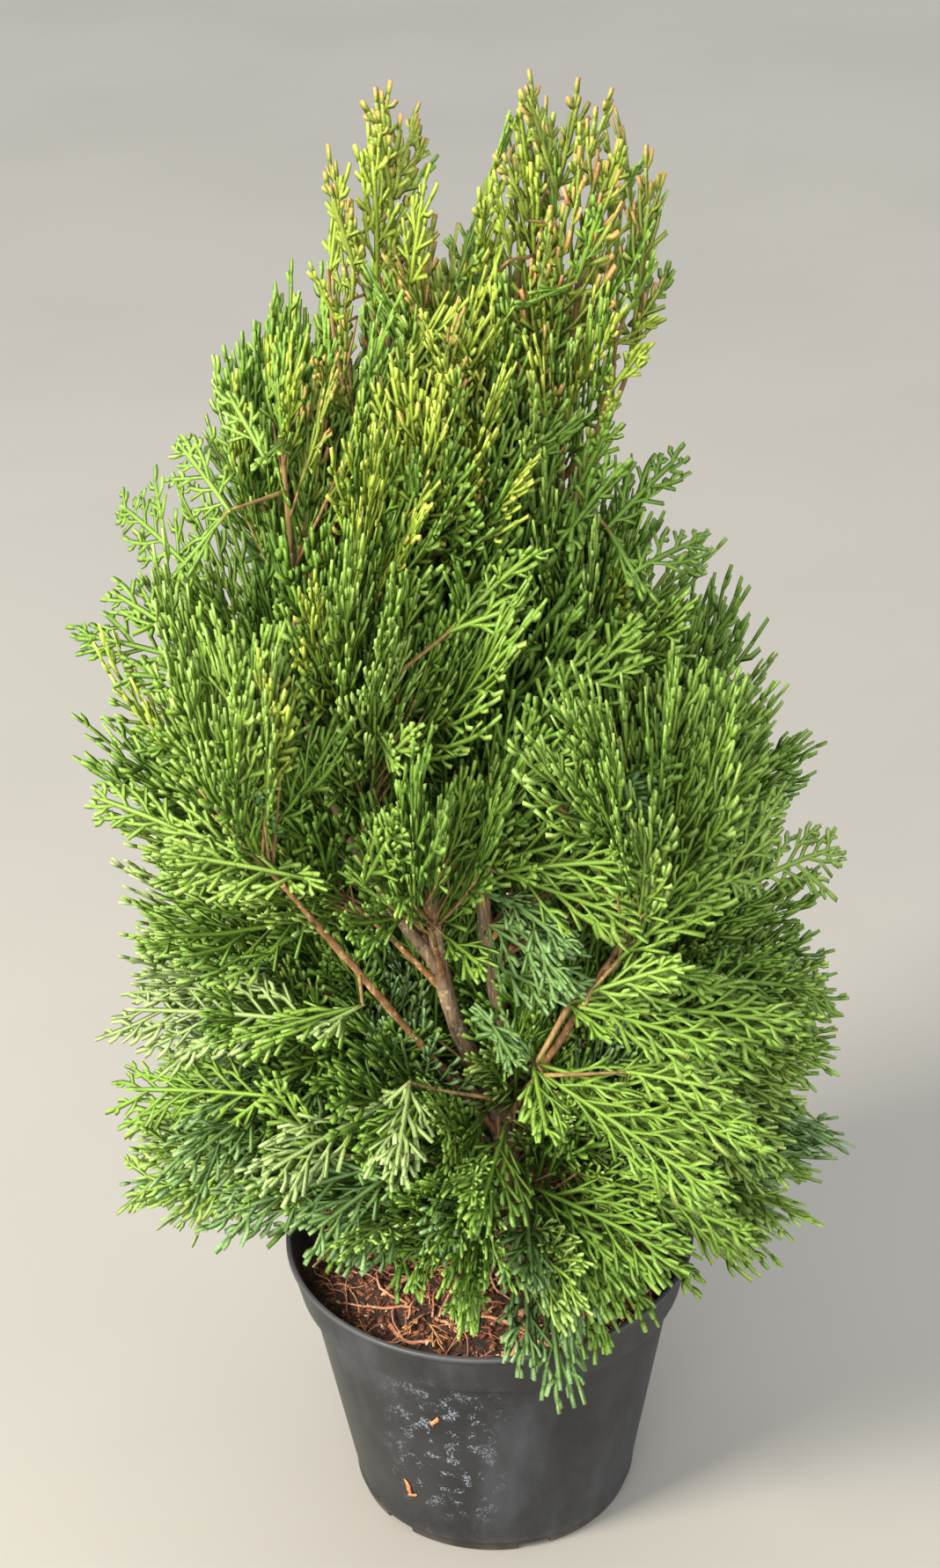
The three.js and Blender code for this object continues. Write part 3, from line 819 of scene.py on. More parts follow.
@dataclass(frozen=True)
class BarkFinish(Finish):
    """Stringy bark in three tones."""

    name: str
    dark: Colour
    middle: Colour
    light: Colour
    depth: float
    flakes: float = 260.0

    def paint(self, graph: Graph, effects: Effects, place: Socket) -> dict[str, Feed]:
        """Fibres with pale flakes and soft patches.

        Args:
            graph: Nodes of the material.
            effects: The node groups.
            place: Coordinates of the object.

        Returns:
            Inputs of the shader.
        """
        dark, middle, light = linear(self.dark), linear(self.middle), linear(self.light)
        bark = graph.use(effects.fibre, Vector=place, Dark=dark, Middle=middle, Light=light)
        patch = graph.use(
            effects.mottle, Vector=place, Scale=38.0, Low=0.42, High=0.7,
            First=linear((255, 255, 255)), Second=linear((214, 196, 186)),
        )
        flakes = graph.use(effects.specks, Vector=place, Scale=self.flakes, Radius=0.4)["Mask"]
        base = graph.mix(graph.times(flakes, 0.55), bark["Color"], light)
        return {
            "Base Color": graph.mix(1.0, base, patch["Color"], "MULTIPLY"),
            "Roughness": graph.span(bark["Crack"], 0.0, 1.0, 0.78, 0.95),
            "Normal": graph.bump(bark["Height"], 0.7, self.depth),
        }


@dataclass(frozen=True)
class PlasticFinish(Finish):
    """Matte black moulded plastic with dust, water marks and a painted highlight along the rim's top."""

    name: str = "pot_black"
    colour: Colour = (25, 25, 26)
    faded: Colour = (36, 36, 37)
    dust: Colour = (120, 126, 136)
    # Colour of the painted highlight on the rim's top.
    edge: Colour = (60, 60, 62)
    rim_height: float = 0.188
    soil_dust: Colour = (96, 78, 62)

    def paint(self, graph: Graph, effects: Effects, place: Socket) -> dict[str, Feed]:
        """Dusty film, spots at the front, a painted highlight on the rim's top and a soiled foot.

        Args:
            graph: Nodes of the material.
            effects: The node groups.
            place: Coordinates of the object.

        Returns:
            Inputs of the shader.
        """
        x, y, z = graph.node("SeparateXYZ", {0: place})
        span, times, mix, specks = graph.span, graph.times, graph.mix, effects.specks
        dust = linear(self.dust)
        streak = graph.noise(graph.stretched(place, (34.0, 34.0, 9.0)), 1.0, 4.0)
        first, second = linear(self.colour), linear(self.faded)
        patch = graph.use(effects.mottle, Vector=place, Scale=17.0, First=first, Second=second)
        base = mix(times(span(streak, 0.45, 0.75), 0.09), patch["Color"], dust)
        front = times(span(x, -0.075, -0.045), span(x, -0.02, 0.012, 1.0, 0.0))
        front = times(front, span(y, -0.07, -0.05, 1.0, 0.0))
        tall = times(span(z, 0.02, 0.06), span(z, 0.13, 0.17, 1.0, 0.0))
        where = graph.math("ADD", times(front, tall), 0.04)
        large, small = (
            graph.use(specks, Vector=place, Scale=scale, Radius=radius)["Mask"]
            for scale, radius in ((340.0, 0.36), (820.0, 0.4))
        )
        spots = times(graph.math("MAXIMUM", large, small), where)
        base = mix(times(spots, 0.6), base, dust)
        # Painted highlight: the rim's top is lighter.
        painted_rim_highlight = times(span(z, self.rim_height - 0.0016, self.rim_height + 0.001), 0.75)
        base = mix(painted_rim_highlight, base, linear(self.edge))
        foot = times(span(z, 0.0, 0.012, 1.0, 0.0), span(streak, 0.35, 0.65))
        return {
            "Base Color": mix(times(foot, 0.5), base, linear(self.soil_dust)),
            "Roughness": graph.math("ADD", span(streak, 0.3, 0.7, 0.42, 0.6), times(spots, 0.3)),
            "Normal": graph.bump(graph.noise(place, 900.0, 3.0), 0.16, 0.0004),
            "Specular IOR Level": 0.38,
        }


@dataclass(frozen=True)
class EarthFinish(Finish):
    """Crumbly or fibrous litter in two tones with painted shade in the hollows."""

    name: str
    first: Colour
    second: Colour
    # Colour of the painted shade in the hollows.
    hollow: Colour
    scale: float
    depth: float

    def paint(self, graph: Graph, effects: Effects, place: Socket) -> dict[str, Feed]:
        """Patches with painted shade in the hollows between the crumbs.

        Args:
            graph: Nodes of the material.
            effects: The node groups.
            place: Coordinates of the object.

        Returns:
            Inputs of the shader.
        """
        first, second = linear(self.first), linear(self.second)
        patch = graph.use(effects.mottle, Vector=place, Scale=self.scale, First=first, Second=second)
        crumbs = graph.noise(place, self.scale * 5.0, 6.0, 0.7)
        # Painted shade: the low places of the crumbs' relief are darkened.
        dark = graph.span(crumbs, 0.36, 0.5, 1.0, 0.0)
        return {
            "Base Color": graph.mix(dark, patch["Color"], linear(self.hollow)),
            "Roughness": graph.span(dark, 0.0, 1.0, 0.85, 1.0),
            "Normal": graph.bump(crumbs, 0.9, self.depth),
        }


@dataclass(frozen=True)
class FloorFinish(Finish):
    """Plain pale floor."""

    name: str = "floor_pale"
    colour: Colour = (133, 130, 124)

    def paint(self, graph: Graph, effects: Effects, place: Socket) -> dict[str, Feed]:
        """Faint patches of one colour.

        Args:
            graph: Nodes of the material.
            effects: The node groups.
            place: Coordinates of the object.

        Returns:
            Inputs of the shader.
        """
        first, second = linear(self.colour), linear(tuple(c * 0.97 for c in self.colour))
        patch = graph.use(effects.mottle, Vector=place, Scale=1.2, First=first, Second=second)
        return {"Base Color": patch["Color"], "Roughness": 0.85}


# Trunk, leaders and boughs.


@dataclass
class Limb:
    """Woody limb: its centre line at even steps and its radius at each."""

    name: str
    path: Array
    radii: Array

    def at_height(self, height: float) -> Array | None:
        """Point of the centre line at a height, or None where the limb doesn't reach it.

        Args:
            height: Height in millimetres.

        Returns:
            The point, or None.
        """
        z = self.path[:, 2]
        if height < z[0] or height > z[-1]:
            return None
        return np.array([np.interp(height, z, self.path[:, i]) for i in range(3)])

    def even_run(self) -> Array:
        """Distance run at each station."""
        return np.linspace(0.0, 1.0, len(self.path)) * run_of(self.path)[-1]


@dataclass
class Branch:
    """Side limb of the source's rule: a bare bough first, then the stem of a mass."""

    name: str
    foot: Array
    control: Array
    tip: Array
    bare: float
    bough_radius: float

    def points(self, start: float, end: float, count: int) -> Array:
        """Stations of a quadratic curve between two shares of its run, at even steps."""
        t = np.linspace(start, end, 40)[:, None]
        return even_path(self.foot * (1 - t) ** 2 + self.control * 2 * t * (1 - t) + self.tip * t**2, count)

    @property
    def stem(self) -> Array:
        """Centre line of the leafy part."""
        return self.points(self.bare, 1.0, 12)

    @property
    def stem_radius(self) -> float:
        """Radius where the leafy part starts."""
        return max(self.bough_radius * STEM_SHARE, 1.5) if self.bare > 0 else self.bough_radius


@dataclass
class Skeleton:
    """Upright limbs and branches, placed by the source's rule."""

    stations: int = 240
    bough_stations: int = 90

    def __post_init__(self) -> None:
        """Works out every limb."""
        self.uprights = [self._upright(size) for size in (TRUNK, *LEADERS)]
        trunk = self.uprights[0]
        trunk.radii = trunk.radii + ROOT_FLARE * np.exp(-trunk.even_run() / ROOT_FLARE_HEIGHT)
        self.branches = [
            *(b for i, tier in enumerate(TIERS) for b in self._tier(tier, i)),
            *(self._branch(s.name, s.azimuth, s.root, s.tip, s, LOWER_BOUGH_RADIUS) for s in LOWER_BRANCHES),
            *(self._top(s, TOP_STEM_RADIUS) for s in TOPS),
            *(self._top(s, CREST_STEM_RADIUS) for s in CRESTS),
        ]
        count = self.bough_stations
        self.boughs = [
            Limb(
                f"bough_{b.name}", b.points(0.0, b.bare, count),
                np.linspace(b.bough_radius, b.stem_radius, count),
            )
            for b in self.branches if b.bare > 0
        ]
        self.limbs = {limb.name: limb for limb in (*self.uprights, *self.boughs)}
        self.stems = np.array([b.stem for b in self.branches])

    def _upright(self, size: LimbSize) -> Limb:
        """Limb through the source's points."""
        path = spline_path(np.array(size.points, float), self.stations)
        return Limb(size.name, path, np.linspace(size.foot_radius, size.tip_radius, self.stations))

    def _branch(self, name: str, azimuth: float, root: float, height: float,
                size: "TierSize | LowerSize", radius: float) -> Branch:
        """Branch from the nearest upright limb to a point inside the crown.

        The tip stands at the lobe's middle plus half-width * reach in the azimuth's direction. The
        control point is halfway there and higher than the foot by the lift.

        Args:
            name: Name of the branch.
            azimuth: Its direction round the axis, in degrees.
            root: Height of its foot.
            height: Height of its tip.
            size: What gives its reach, lift and bare share.
            radius: Radius at its foot.

        Returns:
            The branch.
        """
        middle, half = lobe_at(np.array(CROWN_LOBES[0], float), height)
        angle = math.radians(azimuth)
        out = half * size.reach
        tip = np.array((middle + math.cos(angle) * out, math.sin(angle) * out * CROWN_DEPTH_SHARE, height))
        found = [p for p in (limb.at_height(root) for limb in self.uprights) if p is not None]
        foot = min(found, key=lambda p: math.hypot(p[0] - tip[0], p[1] - tip[1]))
        control = (foot + tip) / 2
        control[2] = foot[2] + size.lift
        return Branch(name, foot, control, tip, size.bare, radius)

    def _tier(self, tier: TierSize, index: int) -> list[Branch]:
        """Branches of one tier.

        Args:
            tier: Its sizes.
            index: Its number, from the lowest.

        Returns:
            The branches.
        """
        made = []
        for i in range(tier.count):
            turn, rise = float(share(i, index)) - 0.5, float(share(i, index + 20)) - 0.5
            azimuth = tier.first_azimuth + 360 * (i + AZIMUTH_JITTER * turn) / tier.count
            root = tier.root_height + tier.root_stagger * (i % 3)
            height = tier.tip_height + tier.root_stagger * 2 * rise
            made.append(self._branch(f"{tier.name}_{i + 1}", azimuth, root, height, tier, tier.bough_radius))
        return made

    def _top(self, size: TopSize, radius: float) -> Branch:
        """Branch that goes on from a leader's tip, or leaves it upright at a root height.

        The control point is halfway to the tip, or above the foot's height and right under the tip.

        Args:
            size: Sizes of the top.
            radius: Radius of its stem.

        Returns:
            The branch.
        """
        leader = next(limb for limb in self.uprights if limb.name == size.leader)
        tip = np.array(size.tip, float)
        if size.root is None:
            foot = leader.path[-1]
            return Branch(size.name, foot, (foot + tip) / 2, tip, 0.0, radius)
        foot = leader.at_height(size.root)
        control = np.array((tip[0], tip[1], foot[2] + (tip[2] - foot[2]) * CREST_BELLY))
        return Branch(size.name, foot, control, tip, 0.0, radius)


@dataclass
class Wood:
    """Trunk, leaders and boughs with the bark's relief, and the finish of the twigs."""

    skeleton: Skeleton
    effects: Effects
    trunk_corners: int = 72
    leader_corners: int = 36
    bough_corners: int = 16
    relief_share: float = 0.1
    bough_relief: float = 0.55

    def __post_init__(self) -> None:
        """Makes the finishes."""
        old = BarkFinish("bark_old", (52, 41, 28), (112, 92, 68), (172, 152, 122), 0.0018)
        young = BarkFinish("bark_young", (76, 48, 26), (136, 96, 55), (196, 164, 118), 0.001)
        twig = BarkFinish("bark_twig", (78, 58, 34), (120, 94, 52), (144, 122, 68), 0.0003)
        self.old, self.young, self.twig = (f.material(self.effects) for f in (old, young, twig))

    @staticmethod
    def relief(limb: Limb, corners: int, seed: int, depth: float) -> Array:
        """Extra radius at every station and corner: strips, finer strings, knobs and the trunk's flutes.

        Args:
            limb: The limb.
            corners: Corners of its section.
            seed: Seed of its strips and plates.
            depth: Height of the strips in millimetres.

        Returns:
            Millimetres to add, (stations, corners).
        """
        run = limb.even_run()[:, None]
        turn = (np.arange(corners) / corners)[None, :]
        strips = max(int(limb.radii.mean() * 2.6), 5)
        lean = turn + 0.4 * np.sin(run / 31.0) / strips
        coarse = Relief(seed, (97, strips)).at(run / 16.0, lean * strips)
        strings = Relief(seed + 1, (97, strips * 3)).at(run / 7.0, lean * strips * 3)
        knobs = Relief(seed + 2, (211, 5)).at(run / 3.4, turn * 5)
        flutes = 0.5 * np.exp(-run / 20.0) * np.cos(8 * np.pi * turn + 0.7) if limb.name == "trunk" else 0.0
        return depth * (coarse + 0.55 * strings + 0.7 * knobs) + depth * 2.4 * flutes

    def _tube(self, limb: Limb, corners: int, seed: int, depth: float) -> MeshData:
        """Tube of one limb with its relief and a collar at its foot.

        Its radius is the limb's times 1 plus a collar that dies away from the foot, plus the relief.

        Args:
            limb: The limb.
            corners: Corners of its section.
            seed: Seed of its relief.
            depth: Depth of its relief.

        Returns:
            The tube.
        """
        collar = 0.0 if limb.name == "trunk" else 0.45 * np.exp(-run_of(limb.path) / (limb.radii[0] * 2.2))
        radii = (limb.radii * (1.0 + collar))[:, None] + self.relief(limb, corners, seed, depth)
        across, normal = steady_frames(limb.path)
        return bars(limb.path[None], (across[None], normal[None]), radii[None], radii[None], corners)

    def build(self) -> None:
        """Writes a piece for each limb."""
        for i, limb in enumerate(self.skeleton.uprights):
            corners = self.trunk_corners if limb.name == "trunk" else self.leader_corners
            data = self._tube(limb, corners, 11 * i + 3, self.relief_share * limb.radii.mean())
            write_piece(limb.name, data, self.old, Slot.BARK, [limb.name])
        for i, limb in enumerate(self.skeleton.boughs):
            data = self._tube(limb, self.bough_corners, 200 + 7 * i, self.bough_relief)
            write_piece(limb.name, data, self.young, Slot.YOUNG_BARK, [limb.name])


# Twigs, sprays and the space they keep to.


@dataclass(frozen=True)
class PhotoView:
    """The photo's point of view, in millimetres and degrees, and its picture in pixels."""

    eye: Triple = (-4.55, -1495.0, 1324.7)
    down: float = 28.5
    roll: float = -1.6
    focal: float = 3300.0
    width: float = 1068.0
    height: float = 1782.0

    def axes(self) -> Array:
        """Unit vectors to the picture's right, down and forward, as rows.

        Down and forward are tilted by the view's angle, then right and down turned by the roll.

        Returns:
            The three vectors, (3, 3).
        """
        tilt, roll = math.radians(self.down), math.radians(self.roll)
        right = np.array((1.0, 0.0, 0.0))
        down = np.array((0.0, -math.sin(tilt), -math.cos(tilt)))
        forward = np.array((0.0, math.cos(tilt), -math.sin(tilt)))
        across = math.cos(roll) * right - math.sin(roll) * down
        return np.array((across, math.sin(roll) * right + math.cos(roll) * down, forward))

    def at_depth(self, points: Array, depth: Array) -> Array:
        """Where the view lines through picture points meet the upright planes y = depth.

        A line runs from the eye along forward * focal plus the offsets from the picture's middle.

        Args:
            points: Picture points in pixels, (n, 2).
            depth: Place of each plane, (n,).

        Returns:
            Points, (n, 3).
        """
        right, down, forward = self.axes()
        off = points - np.array((self.width, self.height)) / 2
        rays = forward * self.focal + off[:, :1] * right + off[:, 1:] * down
        return self.eye + rays * ((depth - self.eye[1]) / rays[:, 1])[:, None]


@dataclass
class CrownSpace:
    """The room of the crown: its lobes, the pot, the limbs and the cells of the masses."""

    skeleton: Skeleton
    rim_clear_radius: float = 136.0
    rim_clear_height: float = 197.0
    limb_margin: float = 1.5
    cell_overlap: float = 16.0
    chunk: int = 12_000
    seen_depths: Triple = (-230.0, 60.0, 2.0)

    def __post_init__(self) -> None:
        """Takes the lines that rule the cells."""
        limbs = self.skeleton.limbs.values()
        stems = [even_path(stem, 4) for stem in self.skeleton.stems]
        self.stem_starts = np.vstack([s[:-1] for s in stems])
        self.stem_ends = np.vstack([s[1:] for s in stems])
        self.groups = np.arange(0, 3 * len(stems), 3)
        thin = [even_path(limb.path, 9) for limb in limbs]
        self.limb_starts = np.vstack([p[:-1] for p in thin])
        self.limb_ends = np.vstack([p[1:] for p in thin])
        self.limb_radii = np.repeat([limb.radii[len(limb.radii) // 9] for limb in limbs], 8)
        self.lobes = [np.array(rows, float) for rows in CROWN_LOBES]

    def shell(self, points: Array) -> Array:
        """Smallest share of the way out to a lobe's surface, and infinite past the lobes' ends.

        Args:
            points: Points, (n, 3).

        Returns:
            Shares, (n,).
        """
        z = points[:, 2]
        best = np.full(len(points), np.inf)
        for rows in self.lobes:
            past = (z < rows[0, 0]) | (z > rows[-1, 0])
            best = np.minimum(best, np.where(past, np.inf, way_out(rows, points)))
        return best

    def seen(self, view: PhotoView, points: Array, shares: Array) -> Array:
        """First points of view lines that lie in the crown.

        Args:
            view: The photo's point of view.
            points: Picture points, (n, 2).
            shares: How far out the points looked for stand, (n,).

        Returns:
            Points in millimetres, (n, 3).
        """
        depths = np.arange(*self.seen_depths)
        lines = np.stack([view.at_depth(points, np.full(len(points), y)) for y in depths], axis=1)
        out = self.shell(lines.reshape(-1, 3)).reshape(len(points), -1)
        met = out <= shares[:, None]
        first = np.where(met.any(axis=1), met.argmax(axis=1), out.argmin(axis=1))
        return lines[np.arange(len(points)), first]

    def depth(self, points: Array) -> Array:
        """Share of the way out from the body's middle to its surface, 1 at the surface."""
        return way_out(self.lobes[0], points)

    def clear_of_pot(self, points: Array) -> Array:
        """Whether points keep off the pot and the soil."""
        radius = np.hypot(points[:, 0], points[:, 1])
        return (radius > self.rim_clear_radius) | (points[:, 2] > self.rim_clear_height)

    def _in_cell(self, points: Array, owner: Array) -> Array:
        """Whether points keep off the limbs and in the cell of their own mass.

        Args:
            points: Points, (n, 3).
            owner: Mass of each, or -1 where the cells don't matter.

        Returns:
            Mask of the points that are nearest to their own stem, give or take the overlap.
        """
        near = polyline_distance(points, self.stem_starts, self.stem_ends)
        near = np.minimum.reduceat(near, self.groups, axis=1)
        mine = near[np.arange(len(points)), owner]
        away = polyline_distance(points, self.limb_starts, self.limb_ends)
        away = away > self.limb_radii + self.limb_margin
        return np.all(away, axis=1) & ((owner < 0) | (mine <= near.min(axis=1) + self.cell_overlap))

    def free(self, points: Array, owner: Array) -> Array:
        """Whether points lie in the room of their mass.

        Args:
            points: Points, (n, 3).
            owner: Mass of each, or -1 for a limb's own.

        Returns:
            Mask of the points.
        """
        good = (self.shell(points) <= 1) & self.clear_of_pot(points)
        kept = np.flatnonzero(good)
        for part in np.array_split(kept, max(1, len(kept) // self.chunk)):
            good[part] = self._in_cell(points[part], owner[part])
        return good

    def free_run(self, base: Array, direction: Array, owner: Array, longest: float,
                 step: float = 7.0) -> Array:
        """Distance that each ray can travel before it leaves the room of its mass.

        Args:
            base: Starts, (n, 3).
            direction: Unit directions, (n, 3).
            owner: Mass of each ray, (n,).
            longest: Greatest distance looked at.
            step: Distance between the points tried.

        Returns:
            Distances, (n,).
        """
        stations = np.arange(10.0, longest + step, step)
        points = base[:, None, :] + stations[None, :, None] * direction[:, None, :]
        good = self.free(points.reshape(-1, 3), np.repeat(owner, len(stations))).reshape(len(base), -1)
        blocked = np.where(good.all(axis=1), len(stations), np.argmin(good, axis=1))
        return np.where(blocked > 0, stations[np.maximum(blocked - 1, 0)], 0.0)


class Tint(Enum):
    """Tints that are dealt out by spray."""

    # Painted shade: a darker tint for fans deep in the crown.
    SHADE = 0
    COOL = 1
    MIDDLE = 2
    BRIGHT = 3
    LIME = 4
    YELLOW = 5
    GOLD = 6
    # Painted sunlight and sheen: a pale tint for sprays on the sunlit low left and top left.
    PALE = 7
    DEAD = 8


TINT_COLOURS: dict[Tint, tuple[Colour, Colour, Colour]] = {
    Tint.SHADE: ((76, 109, 22), (90, 123, 32), (104, 134, 40)),
    Tint.COOL: ((82, 112, 52), (102, 131, 78), (120, 146, 90)),
    Tint.MIDDLE: ((87, 119, 28), (103, 136, 50), (126, 150, 58)),
    Tint.BRIGHT: ((97, 128, 34), (114, 144, 58), (142, 158, 68)),
    Tint.LIME: ((108, 137, 46), (128, 155, 74), (154, 168, 84)),
    Tint.YELLOW: ((126, 146, 40), (149, 162, 60), (184, 152, 78)),
    Tint.GOLD: ((120, 134, 46), (168, 126, 70), (188, 120, 80)),
    # Pale colours that stand in for sunlight and sheen on the left.
    Tint.PALE: ((120, 140, 78), (138, 157, 96), (150, 167, 106)),
    Tint.DEAD: ((122, 106, 58), (150, 126, 76), (160, 134, 84)),
}

TINT_WEIGHTS = np.array((
    # height, shade, cool, middle, bright, lime, yellow, gold, sunlit_pale
    (180, 0.06, 0.52, 0.26, 0.06, 0.10, 0.00, 0.00, 0.00),
    (300, 0.08, 0.32, 0.34, 0.14, 0.12, 0.00, 0.00, 0.00),
    (420, 0.08, 0.12, 0.46, 0.24, 0.10, 0.00, 0.00, 0.00),
    (560, 0.06, 0.02, 0.42, 0.38, 0.12, 0.00, 0.00, 0.00),
    (680, 0.03, 0.00, 0.30, 0.50, 0.10, 0.07, 0.00, 0.00),
    (780, 0.00, 0.00, 0.14, 0.44, 0.06, 0.32, 0.04, 0.00),
    (860, 0.00, 0.00, 0.02, 0.26, 0.00, 0.52, 0.20, 0.00),
    (936, 0.00, 0.00, 0.00, 0.12, 0.00, 0.42, 0.46, 0.00),
))


@dataclass
class Rows:
    """Arrays with one row for each twig or fan."""

    base: Array
    direction: Array
    normal: Array
    length: Array
    owner: Array

    def kept(self, which: Array) -> "Rows":
        """The rows picked by a mask or indices."""
        return type(self)(*(getattr(self, f.name)[which] for f in fields(self)))

    @classmethod
    def joined(cls, groups: "list[Rows]") -> "Rows":
        """Several sets as one."""
        return cls(*(np.concatenate([getattr(g, f.name) for g in groups]) for f in fields(cls)))


@dataclass
class Twigs(Rows):
    """Bare twigs that carry the fans."""

    bend: Array
    radius: Array

    def at(self, shares: Array) -> Arrays:
        """Points and unit tangents at one share of the run for each twig.

        A point is base + direction * s + bend * s^2, where s is the distance run.

        Args:
            shares: Share of the run, (n,).

        Returns:
            Points and tangents, (n, 3) each.
        """
        s = (shares * self.length)[:, None]
        points = self.base + self.direction * s + self.bend * s**2
        return points, unit(self.direction + 2 * self.bend * s)


@dataclass
class Fans(Rows):
    """Flat fans of scale leaves."""

    lean: Array
    tint: Array
    stout: Array

    def at(self, shares: float | Array) -> Array:
        """Points of the ribs at a share of their run: base + direction * s + lean * s^2 / length."""
        s = (shares * self.length)[:, None]
        return self.base + self.direction * s + self.lean * s**2 / np.maximum(self.length, 1e-9)[:, None]


# Foot and tip in the photo's pixels, then the depths y of both in millimetres.
TOP_SHOOTS: dict[Tint | None, tuple[tuple[int, ...], ...]] = {
    Tint.GOLD: (
        (448, 275, 432, 82, -8, -14), (450, 210, 480, 106, -10, 6), (446, 225, 421, 109, -8, -26),
        (452, 225, 491, 135, -2, 10), (405, 310, 368, 191, -20, -34), (600, 250, 565, 154, -4, -10),
        (635, 225, 591, 74, 2, -4), (630, 225, 664, 86, 12, 20),
    ),
    None: (
        (452, 250, 495, 166, 0, 20), (400, 340, 405, 225, -14, -6), (385, 370, 348, 290, -30, -44),
        (475, 300, 495, 239, -4, 8), (461, 295, 474, 224, 6, 16), (438, 295, 420, 210, 10, 18),
        (550, 320, 548, 216, -6, -12), (580, 295, 558, 191, -14, -24), (602, 210, 587, 101, 6, 4),
        (650, 225, 704, 89, 4, 10), (640, 260, 670, 124, -12, -20), (675, 260, 719, 145, -8, -16),
        (680, 270, 743, 158, 8, 20), (690, 285, 768, 180, 0, 4), (710, 360, 756, 276, -12, -20),
        (715, 370, 782, 289, 6, 14), (680, 400, 772, 348, -6, -10), (625, 270, 622, 190, 20, 28),
        (610, 340, 630, 232, -22, -30), (655, 320, 690, 210, -20, -30),
    ),
}
# Foot and tip in millimetres.
HANGING_SPRAYS: dict[Tint, tuple[tuple[int, ...], ...]] = {
    Tint.COOL: ((32, -84, 236, 39, -150, 187), (22, -72, 240, 20, -142, 205), (38, -86, 262, 50, -150, 224)),
    Tint.MIDDLE: ((46, -84, 246, 63, -142, 210),),
    Tint.BRIGHT: ((54, -78, 252, 89, -132, 227), (66, -72, 252, 120, -110, 231)),
}
# Foot and tip in the photo's pixels, then how far out in the crown both stand, in per cent.
SEEN_SPRAYS: dict[Tint, tuple[tuple[int, ...], ...]] = {
    Tint.BRIGHT: (
        (609, 1209, 847, 1284, 55, 97), (618, 1222, 809, 1355, 60, 98), (730, 1355, 855, 1405, 75, 98),
        (788, 1251, 857, 1284, 80, 98), (605, 1205, 622, 1292, 55, 82), (320, 1247, 132, 1238, 75, 100),
        (412, 1142, 270, 1184, 60, 90), (595, 987, 737, 978, 65, 88), (703, 1091, 828, 987, 70, 96),
        (666, 1141, 895, 1162, 70, 98), (662, 1145, 820, 1191, 70, 92), (205, 723, 122, 669, 85, 100),
        (413, 1007, 455, 932, 60, 76), (547, 984, 734, 938, 55, 80), (568, 992, 730, 1051, 55, 78),
        (505, 1063, 555, 1105, 42, 60), (651, 1138, 759, 1126, 55, 80), (647, 1142, 697, 1180, 55, 75),
        (210, 640, 135, 572, 85, 100), (655, 560, 700, 470, 80, 100), (564, 664, 614, 622, 70, 88),
        (510, 718, 602, 685, 68, 84), (602, 827, 737, 710, 70, 93),
    ),
    Tint.LIME: (
        (713, 1218, 838, 1242, 70, 95), (370, 1313, 141, 1342, 70, 100), (824, 999, 895, 895, 90, 100),
        (853, 1003, 953, 962, 90, 102), (670, 1128, 778, 1095, 70, 90), (205, 944, 88, 898, 85, 103),
        (347, 998, 184, 969, 75, 97), (260, 580, 200, 500, 85, 100), (300, 520, 255, 440, 85, 100),
        (593, 893, 652, 848, 65, 80), (443, 860, 472, 831, 65, 80),
    ),
    Tint.MIDDLE: (
        (601, 1347, 763, 1426, 50, 97), (599, 1355, 707, 1468, 45, 93), (576, 1276, 542, 1388, 45, 86),
        (495, 1238, 412, 1313, 50, 82), (645, 924, 762, 874, 70, 90), (787, 1112, 945, 1128, 80, 100),
        (205, 748, 84, 719, 80, 102), (247, 778, 134, 765, 80, 100), (255, 873, 159, 836, 80, 100),
        (690, 600, 775, 515, 80, 100), (720, 650, 800, 610, 85, 100), (650, 600, 712, 520, 80, 100),
    ),
    Tint.COOL: (
        (597, 1355, 605, 1459, 42, 86), (551, 1338, 492, 1413, 45, 80), (412, 1330, 245, 1384, 70, 96),
        (474, 1313, 349, 1405, 55, 88), (495, 1347, 387, 1426, 45, 84), (645, 928, 745, 941, 70, 90),
        (578, 1020, 649, 1078, 50, 74), (587, 1053, 645, 1120, 50, 74), (313, 957, 255, 890, 70, 90),
        (547, 1013, 647, 1068, 45, 68), (555, 1051, 668, 1126, 45, 68), (563, 1097, 634, 1134, 40, 62),
        (559, 1163, 588, 1213, 40, 60), (652, 910, 737, 893, 70, 90),
    ),
    # Pale sprays at the low left: painted sunlight and sheen.
    Tint.PALE: (
        (466, 1230, 449, 1338, 60, 92), (370, 1163, 128, 1147, 70, 100), (437, 1255, 295, 1338, 60, 93),
    ),
    Tint.YELLOW: (
        (670, 520, 705, 440, 80, 100), (690, 450, 738, 385, 80, 100),
    ),
}


@dataclass(frozen=True)
class Placing:
    """How sprays at places of the photo stand.

    The face is added to the outward direction that a spray's flat is turned to. The lean is its upward
    bend as a share of its length, the roll its greatest angle round the rib, and over the length of
    the fingers past the rib's end.
    """

    face: Triple
    lean: float
    roll: float
    over: float


